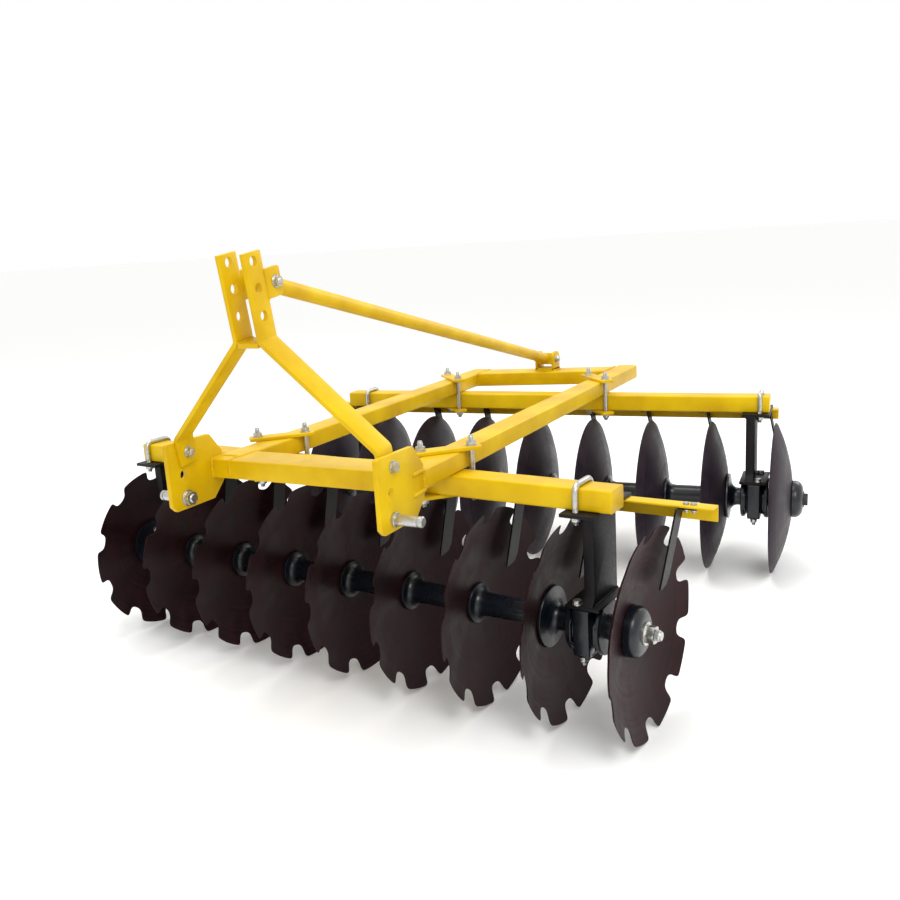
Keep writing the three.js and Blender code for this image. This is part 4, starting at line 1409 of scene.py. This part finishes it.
@dataclass(frozen=True)
class MainFrame:
    """The welded frame that lies on the gang beams, and the clamps that hold it there."""

    side_x: float = 305.0
    side_width: float = 80.0
    cross_depth: float = 120.0
    cross_lip: float = 50.0
    rear_cross_y: float = 1656.0
    rear_cross_turn: float = math.radians(14)
    clamp_half_width: float = 25.0
    clamp_tip: float = 16.0
    upright_leg: float = 5.2
    top_leg: float = 4.6
    lap_leg: float = 3.6

    def build(self, gangs: Sequence[Gang]) -> None:
        """Builds the frame and its clamps on the gangs.

        Args:
            gangs: the two gangs that hang from it.
        """
        self.build_side_beams()
        self.build_front_cross()
        self.build_rear_cross()
        for gang in gangs:
            for side in Side:
                self.build_clamp(gang, side)

    def build_side_beams(self) -> None:
        """Builds the two long beams."""
        for side in Side:
            x, y, z = reach(f"{side.label}_side_beam")
            beam = Workpiece(f"{side.label}_long_beam")
            beam.beam(x, y, z, Axis.Y, 6.5)
            beam.finish(LAYOUT, YELLOW, Slot.YELLOW, "frame", [f"{side.label}_side_beam"])

    def build_front_cross(self) -> None:
        """Builds the front cross beam, which laps the ends of the long beams, and its welds."""
        x, y, z = reach("front_cross_beam")
        inner = self.side_x - self.side_width / 2 - LEVELS.seat
        lip = y[0] + self.cross_lip
        cross = Workpiece("front_cross_box")
        shape = [(x[0], y[0]), (x[1], y[0]), (x[1], lip), (inner, lip), (inner, y[1]), (-inner, y[1]),
                 (-inner, lip), (x[0], lip)]
        cross.plate(shape, Axis.Z, z[0], z[1], 5.0, 4)
        cross.finish(LAYOUT, YELLOW, Slot.YELLOW, "frame", ["front_cross_beam"])
        welds = Workpiece("front_cross_welds")
        front, back = y
        low, high = z[0] + 4, z[1] - 1
        for side in (-1, 1):
            joint, tip = side * (inner + 0.2), side * (x[1] - 1)
            seams = (
                (self.upright_leg, (joint, back + 1, low), (joint, back + 1, z[1] - 4)),
                (self.top_leg, (joint, lip + 6, high), (joint, back - 2, high)),
                (self.top_leg, (side * (inner + 4), lip, high), (side * (x[1] - 2), lip, high)),
                (self.top_leg, (tip, front + 4, high), (tip, lip - 2, high)),
                (self.top_leg, (tip, front, z[0] + 3), (tip, front, z[1] - 3)),
                (self.lap_leg, (joint, front + 0.6, low), (joint, front + 0.6, z[1] - 4),
                 (joint, front + 4, z[1] - 0.6), (joint, lip, z[1] - 0.6)))
            for leg, *path in seams:
                welds.beads(path, leg)
        welds.finish(LAYOUT, BEAD, Slot.YELLOW, "frame")

    def build_rear_cross(self) -> None:
        """Builds the slanting rear cross beam and its welds."""
        half = self.side_x - self.side_width / 2 - LEVELS.seat
        rise = half * math.tan(self.rear_cross_turn)
        depth = self.cross_depth / math.cos(self.rear_cross_turn)
        y = self.rear_cross_y
        shape = [(-half, y - rise), (half, y + rise), (half, y + rise + depth), (-half, y - rise + depth)]
        bottom, top = LEVELS.side_bottom, LEVELS.side_top
        cross = Workpiece("rear_cross_box")
        cross.plate(shape, Axis.Z, bottom, top, 5.0, 4)
        cross.finish(LAYOUT, YELLOW, Slot.YELLOW, "frame", ["rear_cross_beam"])
        welds = Workpiece("rear_cross_welds")
        left_end = reach("left_side_beam")[1][1]
        for side in (-1, 1):
            near, far = y + side * rise, y + side * rise + depth
            x = side * half
            stop = min(far, left_end) - 4 if side < 0 else far - 4
            welds.bead((x, near, bottom + 4), (x, near, top - 4), self.upright_leg)
            welds.bead((x, near + 4, top - 1), (x, stop, top - 1), self.top_leg)
        welds.finish(LAYOUT, BEAD, Slot.YELLOW, "frame")

    def build_clamp(self, gang: Gang, side: Side) -> None:
        """Builds the two plates and two bolts that squeeze a long beam on a gang beam.

        Args:
            gang: the gang whose beam it is.
            side: the long beam's side.
        """
        node = f"{gang.name}_{side.label}_clamp"
        span_x, span_y, _ = reach(node)
        x, y = sum(span_x) / 2, sum(span_y) / 2
        clear = BOLT.radius + 4
        off = Vector((self.side_width / 2 + clear, gang.rear_side * (gang.beam_depth / 2 + clear), 0))
        nut_radius, nut_height = BOLT.nut
        long_half = off.length + nut_radius + 12
        turn = Matrix.Translation((x, y, 0)) @ Matrix.Rotation(math.atan2(off.y, off.x), 4, "Z")
        wide = self.clamp_half_width
        corners = [(-long_half, -wide), (long_half, -wide), (long_half, wide), (-long_half, wide)]
        shape = rounded(corners, dict.fromkeys(range(4), 7), 4)
        top = LEVELS.side_top + LEVELS.seat
        bottom = LEVELS.arm_plate[0]
        plates = Workpiece(f"{node}_plates")
        plates.plate(shape, Axis.Z, top, top + LEVELS.plate, 1.2, 2, turn)
        plates.plate(shape, Axis.Z, bottom, bottom + LEVELS.plate, 1.2, 2, turn)
        plates.finish(LAYOUT, YELLOW, Slot.YELLOW, "frame", [node])
        bolts = Workpiece(f"{node}_bolts")
        for end in (-1, 1):
            at = Vector((x, y, 0)) + off * end
            head = at + Z * (top + LEVELS.plate)
            foot = at + Z * bottom
            bolts.rod(BOLT.radius, foot, head, 0.5)
            for face, out, tip in ((head, Z, self.clamp_tip), (foot, -Z, BOLT.tip)):
                bolts.nut_on(face, out, (nut_radius + 2.5, 3), nut_radius, nut_height - 3, 0.3 + end * 0.4)
                bolts.thread(BOLT.radius, face + out * (nut_height - 1), out, tip + 1)
        bolts.finish(LAYOUT, ZINC, Slot.ZINC, "frame")


# ---------------------------------------------------------------- hitch and mast


@dataclass(frozen=True)
class Hitch:
    """The two hitch plates at the ends of the front cross beam, and the pins for the lower links."""

    reach_ahead: float = 165.0
    back: float = 50.0
    # Each hole's y, z and radius, for the pin, the spare place of the pin and the mast's foot.
    pin: tuple[float, float, float] = (-106.0, 632.0, 14.0)
    pin_length: float = 82.0
    seam_leg: float = 6.5
    seam_run: float = 50.0
    spare: tuple[float, float, float] = (-111.0, 700.0, 13.0)
    foot: tuple[float, float, float] = (-96.0, 762.0, BOLT.hole)
    # The mast's flat bar and its seat on the plate.
    mast_bar: float = 12.6

    def build(self) -> None:
        """Builds both sides."""
        for side in Side:
            self.build_plate(side)
            self.build_pin(side)
            self.build_foot_bolt(side)

    def build_plate(self, side: Side) -> None:
        """Builds one plate with its three holes and the seam that joins it to the long beam.

        Args:
            side: the plate's side.
        """
        name = side.label
        x, _, z = reach(f"{name}_hitch_plate")
        bottom, top = z
        ahead, cut = -self.reach_ahead, 16
        shape = [(ahead, top), (ahead, bottom + cut), (ahead + cut, bottom), (0, bottom),
                 (self.back - 4, bottom + 44), (self.back, top - 62), (5, top - 4)]
        radii = dict(enumerate((10, 6, 6, 10, 8, 8, 12)))
        plate = Workpiece(f"{name}_hitch_cheek")
        plate.plate(rounded(shape, radii, 4), Axis.X, x[0], x[1], 1.4)
        piece = plate.finish(LAYOUT, YELLOW, Slot.YELLOW, "frame", [f"{name}_hitch_plate"])
        past = 5
        drill(piece, LAYOUT, [((x[0] - past, y, up), (x[1] + past, y, up), radius)
                              for y, up, radius in (self.pin, self.spare, self.foot)])
        beam_x, _, beam_z = reach(f"{name}_side_beam")
        outer = beam_x[1] if side is Side.RIGHT else beam_x[0]
        welds = Workpiece(f"{name}_cheek_welds")
        rear, corner = self.back - 2, 4
        start = rear - self.seam_run
        low, high = beam_z
        welds.beads([(outer, start, high), (outer, rear - corner, high), (outer, rear, high - corner),
                     (outer, rear, low + corner), (outer, start, low)], self.seam_leg)
        welds.finish(LAYOUT, BEAD, Slot.YELLOW, "frame")

    def build_pin(self, side: Side) -> None:
        """Builds the lower link pin, its collar outside and its washer and nut inside.

        Args:
            side: the plate's side.
        """
        name = side.label
        x, _, _ = reach(f"{name}_hitch_plate")
        inner, outer = (x[0], x[1]) if side is Side.RIGHT else (x[1], x[0])
        y, z, radius = self.pin
        out = X * side.value
        face = Vector((outer, y, z))
        pin = Workpiece(f"{name}_lower_link_pin")
        collar = [(0, 0), (0, radius + 4), (1, radius + 5), (7, radius + 5), (8, radius + 4), (8, radius)]
        groove = [(-14, radius), (-13.5, radius - 2), (-10, radius - 2), (-9.5, radius)]
        tip = [(-3, radius), (0, radius - 3), (0, 0)]
        pin.turned(collar + [(self.pin_length + along, r) for along, r in groove + tip], face, out, 40)
        back = Vector((inner, y, z))
        pin.rod(radius, face, back - out * 2, 0.4)
        pin.nut_on(back, -out, (radius + 9, 3), radius + 7, 15, 0.25)
        pin.thread(radius - 1, back - out * 17, -out, 5, 2.5)
        pin.finish(LAYOUT, ZINC, Slot.ZINC, "frame", [f"{name}_lower_pin"])

    def build_foot_bolt(self, side: Side) -> None:
        """Builds the bolt that holds the mast's foot to the plate.

        Args:
            side: the plate's side.
        """
        name = side.label
        x, _, _ = reach(f"{name}_hitch_plate")
        y, z, _ = self.foot
        out = X * side.value
        near, far = (x[0], x[1]) if side is Side.RIGHT else (x[1], x[0])
        outer, inner = Vector((far, y, z)), Vector((near - side.value * self.mast_bar, y, z))
        nut_radius, nut_height = BOLT.nut
        washer = (nut_radius + 2.5, 2.5)
        bolt = Workpiece(f"{name}_foot_bolt")
        bolt.rod(BOLT.radius, inner, outer, 0.4)
        bolt.nut_on(outer, out, washer, nut_radius, nut_height - 3, 0.5)
        bolt.nut_on(inner, -out, washer, nut_radius, nut_height - 2.5, 0.2)
        bolt.thread(BOLT.radius, inner - out * (nut_height - 1), -out, 5)
        bolt.finish(LAYOUT, ZINC, Slot.ZINC, "frame", [f"{name}_mast_foot_bolt"])


@dataclass(frozen=True)
class Mast:
    """The three-point mast: two bent flat bars, the bar that joins them, and the ears for the brace."""

    gap: float = 64.0
    thickness: float = 12.0
    width: float = 65.0
    lean: float = math.radians(8.5)
    foot: tuple[float, float] = (-96.0, 762.0)
    foot_x: float = 330.7
    drop: float = 32.0
    rise: float = 42.0
    bend: float = 315.0
    top: float = 534.0
    holes: tuple[float, ...] = (512.0, 447.0, 379.0)
    hole_radius: float = 13.0
    # The ear's middle up the mast, its height and its depth.
    ear: tuple[float, float, float] = (449.0, 74.0, 58.0)
    # The joining bar's underside and thickness.
    base: tuple[float, float] = (305.0, 12.0)
    pin_inset: float = 22.0
    weld_leg: float = 3.0

    @property
    def place(self) -> Matrix:
        """From the mast's own plane to the row frame."""
        return LAYOUT @ self.tilt

    @property
    def tilt(self) -> Matrix:
        """From the mast's own plane to the layout."""
        return Matrix.Translation((0, *self.foot)) @ Matrix.Rotation(self.lean, 4, "X")

    @property
    def pin_y(self) -> float:
        """How far behind the mast's middle the brace's pin lies."""
        return self.width / 2 + self.ear[2] - self.pin_inset

    @property
    def brace_pin(self) -> Vector:
        """The brace's front pin in the layout."""
        return self.tilt @ Vector((0, self.pin_y, self.ear[0]))

    def build(self) -> None:
        """Builds the mast."""
        for side in Side:
            self.build_bar(side)
        self.build_base()

    def build_bar(self, side: Side) -> None:
        """Builds one bent bar with its ear, its holes and its welds.

        Args:
            side: the bar's side.
        """
        name, way = side.label, side.value
        inner, outer = self.gap / 2, self.gap / 2 + self.thickness
        foot_inner = self.foot_x - self.thickness
        slope = math.atan2(self.bend - self.rise, foot_inner - inner)
        slip = self.thickness * math.tan((math.pi / 2 - slope) / 2)
        shape = [(foot_inner, -self.drop), (self.foot_x, -self.drop), (self.foot_x, self.rise + slip),
                 (outer, self.bend + slip), (outer, self.top), (inner, self.top), (inner, self.bend),
                 (foot_inner, self.rise)]
        outside, inside = 24, 12
        shape = rounded(shape, {2: outside, 7: inside, 3: inside, 6: outside}, 6)
        half = self.width / 2
        bar = Workpiece(f"{name}_mast_flat")
        bar.plate([(way * a, b) for a, b in shape], Axis.Y, -half, half, 1.2)
        piece = bar.finish(self.place, YELLOW, Slot.YELLOW, "frame", [f"{name}_mast_bar"])
        past = 5
        start, end = way * (inner - past), way * (outer + past)
        holes = [((start, 0, z), (end, 0, z), self.hole_radius) for z in self.holes]
        holes.append(((way * (foot_inner - past), 0, 0), (way * (self.foot_x + past), 0, 0), BOLT.hole))
        drill(piece, self.place, holes)

        centre, height, depth = self.ear
        low, high = centre - height / 2, centre + height / 2
        ear = [(half - 0.5, low), (half + depth, low), (half + depth, high), (half - 0.5, high)]
        plate = Workpiece(f"{name}_mast_ear")
        plate.plate(rounded(ear, {1: 7, 2: 7}, 5), Axis.X, way * inner, way * outer, 1.0)
        piece = plate.finish(self.place, YELLOW, Slot.YELLOW, "frame")
        drill(piece, self.place, [((start, self.pin_y, centre), (end, self.pin_y, centre), BOLT.hole)])

        welds = Workpiece(f"{name}_ear_welds")
        x, joint = way * outer, way * (inner - 1)
        on_base = sum(self.base)
        welds.bead((x, half, low + 2), (x, half, high - 2), self.weld_leg)
        welds.bead((joint, -half + 3, on_base), (joint, half - 3, on_base), self.weld_leg)
        welds.finish(self.place, BEAD, Slot.YELLOW, "frame")

    def build_base(self) -> None:
        """Builds the bar that joins the two at their bend."""
        half = self.gap / 2 - LEVELS.seat
        base = Workpiece("mast_spacer")
        base.block((-half, half), (-self.width / 2, self.width / 2), (self.base[0], sum(self.base)), 1.0)
        base.finish(self.place, YELLOW, Slot.YELLOW, "frame", ["mast_base_bar"])


@dataclass(frozen=True)
class Brace:
    """The tube from the mast's ears down to a bracket on the rear cross beam, and its pins."""

    mast: Mast
    radius: float = 21.0
    lug: float = 50.0
    lug_wall: float = 2.0
    bracket_wall: float = 10.0
    pin_height: float = 46.0
    pin_share: float = 0.45
    tube_cap: float = 8.0
    lug_corner: float = 19.0
    ear_corner: float = 26.0
    fork_leg: float = 3.4

    def build(self) -> None:
        """Builds the tube, bracket and pins."""
        x, y, z = reach("brace_bracket")
        front = self.mast.brace_pin
        rear = Vector((0, y[0] + (y[1] - y[0]) * self.pin_share, z[0] + self.pin_height))
        self.build_tube(front, rear)
        self.build_bracket(x, y, z, rear)
        ears = self.mast.gap / 2 + self.mast.thickness
        self.build_pin("brace_front_bolt", "brace_front_pin", front, ears)
        self.build_pin("brace_rear_bolt", "brace_rear_pin", rear, x[1])

    def build_tube(self, front: Vector, rear: Vector) -> None:
        """Builds the tube with a lug welded in each end.

        Args:
            front: the front pin, between the mast's ears.
            rear: the rear pin, in the bracket.
        """
        run = rear - front
        along = run.normalized()
        turn = Matrix.Translation(front) @ Matrix.Rotation(math.atan2(run.z, run.y), 4, "X")
        half = self.mast.gap / 2 - LEVELS.seat
        height = self.radius + self.lug_wall
        tube = Workpiece("brace_tube")
        start = front + along * self.lug / 2
        length = run.length - self.lug
        cap, edge = self.tube_cap, 4
        tube.turned([(-cap, 0), (-cap, self.radius - edge), (edge - cap, self.radius),
                     (length + cap - edge, self.radius), (length + cap, self.radius - edge),
                     (length + cap, 0)], start, along, 56)
        tube.finish(LAYOUT, YELLOW, Slot.YELLOW, "frame", ["rear_brace"])
        lugs = Workpiece("brace_lugs")
        for at, out in ((0.0, -1), (run.length, 1)):
            inner, outer = at - out * self.lug / 2, at + out * self.lug / 2
            lug = [(inner, -height), (outer, -height), (outer, height), (inner, height)]
            radii = {1: self.lug_corner, 2: self.lug_corner}
            lugs.plate(rounded(lug, radii, 7), Axis.X, -half, half, 2.0, 3, turn)
        piece = lugs.finish(LAYOUT, YELLOW, Slot.YELLOW, "frame")
        holes = [((-half - 4, p.y, p.z), (half + 4, p.y, p.z), BOLT.hole) for p in (front, rear)]
        drill(piece, LAYOUT, holes)
        welds = Workpiece("brace_welds")
        for at in (start + along * 6, rear - along * (self.lug / 2 + 6)):
            welds.ring_bead(at, along, self.radius - 0.4, 3.0)
        welds.finish(LAYOUT, BEAD, Slot.YELLOW, "frame")

    def build_bracket(self, x: tuple[float, float], y: tuple[float, float], z: tuple[float, float],
                      pin: Vector) -> None:
        """Builds the bracket: a floor and two ears with round heads.

        Args:
            x: its reach along x.
            y: its reach along y.
            z: its reach along z.
            pin: the middle of the pin through its ears.
        """
        wall = self.bracket_wall
        bracket = Workpiece("brace_fork")
        bracket.block(x, y, (z[0], z[0] + wall), 1.2)
        ear = [(y[0], z[0] + 2), (y[1], z[0] + 2), (y[1], z[1]), (y[0], z[1])]
        radii = {2: self.ear_corner, 3: self.ear_corner}
        for a, b in ((x[0], x[0] + wall), (x[1] - wall, x[1])):
            bracket.plate(rounded(ear, radii, 7), Axis.X, a, b, 1.0)
        piece = bracket.finish(LAYOUT, YELLOW, Slot.YELLOW, "frame", ["brace_bracket"])
        drill(piece, LAYOUT, [((x[0] - 4, pin.y, pin.z), (x[1] + 4, pin.y, pin.z), BOLT.hole)])
        welds = Workpiece("fork_welds")
        low = z[0] + 1
        welds.beads([(x[0], y[0], low), (x[1], y[0], low), (x[1], y[1], low), (x[0], y[1], low),
                     (x[0], y[0], low)], self.fork_leg)
        welds.finish(LAYOUT, BEAD, Slot.YELLOW, "frame")

    def build_pin(self, name: str, node: str, at: Vector, half: float) -> None:
        """Builds a bolt through two ears, its head on the left and its nut on the right.

        Args:
            name: the piece's name.
            node: the CAD node that it replaces.
            at: its middle.
            half: from its middle to the ears' outer faces.
        """
        nut_radius, nut_height = BOLT.nut
        bolt = Workpiece(name)
        bolt.rod(BOLT.radius, at - X * half, at + X * half, 0.4)
        for out in (X, -X):
            bolt.nut_on(at + out * half, out, (nut_radius + 2.5, 2.5), nut_radius, nut_height - 2.5,
                        0.4 * out.x)
        bolt.thread(BOLT.radius, at + X * (half + nut_height - 1), X, 5)
        bolt.finish(LAYOUT, ZINC, Slot.ZINC, "frame", [node])


# ---------------------------------------------------------------- studio


@dataclass(frozen=True)
class Studio:
    """The plain pale floor, the soft lights and the camera."""

    floor_half: float = 150.0
    floor_tone: str = "fcfcfb"
    eye: Point = (1520.0, -1935.0, 1295.0)
    yaw: float = math.radians(28.87)
    pitch: float = math.radians(12.92)
    roll: float = math.radians(-3.51)
    lens: float = 36.96
    sensor: float = 36.0
    # Each light's name, place, aim, size in metres and power in watts.
    lights: tuple[tuple[str, Point, Point, float, float], ...] = (
        ("key", (3.0, -3.2, 4.4), (0.0, 0.0, 0.5), 2.2, 100.0),
        ("top", (-0.6, 0.4, 5.2), (0.0, 0.2, 0.4), 3.6, 120.0),
        ("rim", (1.8, 4.6, 3.0), (0.0, 0.4, 0.5), 2.4, 40.0),
    )
    sky: float = 1.0

    def build(self) -> None:
        """Builds the studio."""
        self.build_floor()
        self.build_lights()
        self.build_camera()

    def build_floor(self) -> None:
        """Lays the floor."""
        form = bmesh.new()
        bmesh.ops.create_grid(form, x_segments=1, y_segments=1, size=self.floor_half)
        data = bpy.data.meshes.new("studio_floor")
        form.to_mesh(data)
        form.free()
        material = bpy.data.materials.new("studio_floor")
        material.use_nodes = True
        shader = material.node_tree.nodes["Principled BSDF"]
        shader.inputs["Base Color"].default_value = linear(self.floor_tone)
        shader.inputs["Roughness"].default_value = 0.9
        shader.inputs["Specular IOR Level"].default_value = 0.1
        data.materials.append(material)
        floor = bpy.data.objects.new("studio_floor", data)
        bpy.context.scene.collection.objects.link(floor)

    def build_lights(self) -> None:
        """Hangs the soft lights and sets the sky."""
        for name, spot, target, size, power in self.lights:
            data = bpy.data.lights.new(name, "AREA")
            data.shape, data.size, data.energy = "DISK", size, power
            light = bpy.data.objects.new(name, data)
            light.location = spot
            light.rotation_euler = (Vector(target) - Vector(spot)).to_track_quat("-Z", "Y").to_euler()
            bpy.context.scene.collection.objects.link(light)
        world = bpy.data.worlds.new("studio_sky")
        world.use_nodes = True
        back = world.node_tree.nodes["Background"]
        back.inputs["Color"].default_value = (1.0, 1.0, 1.0, 1.0)
        back.inputs["Strength"].default_value = self.sky
        bpy.context.scene.world = world
        bpy.context.scene.view_settings.view_transform = "Standard"

    def build_camera(self) -> None:
        """Sets the camera up."""
        ahead = Vector((-math.sin(self.yaw) * math.cos(self.pitch),
                        math.cos(self.yaw) * math.cos(self.pitch), -math.sin(self.pitch)))
        right = Vector((math.cos(self.yaw), math.sin(self.yaw), 0.0))
        up = right.cross(ahead)
        across = right * math.cos(self.roll) + up * math.sin(self.roll)
        above = up * math.cos(self.roll) - right * math.sin(self.roll)
        turn = Matrix((across, above, -ahead)).transposed().to_4x4()
        data = bpy.data.cameras.new("camera")
        data.lens, data.sensor_width = self.lens, self.sensor
        data.clip_start, data.clip_end = 0.05, 200.0
        camera = bpy.data.objects.new("camera", data)
        camera.matrix_world = Matrix.Translation(LAYOUT @ Vector(self.eye)) @ turn
        bpy.context.scene.collection.objects.link(camera)
        bpy.context.scene.camera = camera


def main() -> None:
    """Builds the harrow, then the studio."""
    logging.basicConfig(level=logging.INFO, format="%(message)s")
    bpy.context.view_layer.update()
    front = Gang("front", notched=True, reversed_run=False, rear_side=1, beam_lead=10.0, finish=NOTCHED,
                 slot=Slot.NOTCHED)
    rear = Gang("rear", notched=False, reversed_run=True, rear_side=-1, beam_lead=30.0, finish=PLAIN,
                slot=Slot.PLAIN)
    for gang in (front, rear):
        gang.build()
    MainFrame().build((front, rear))
    Hitch().build()
    mast = Mast()
    mast.build()
    Brace(mast).build()
    Studio().build()
    bpy.context.view_layer.update()


if __name__ == "__main__":
    main()
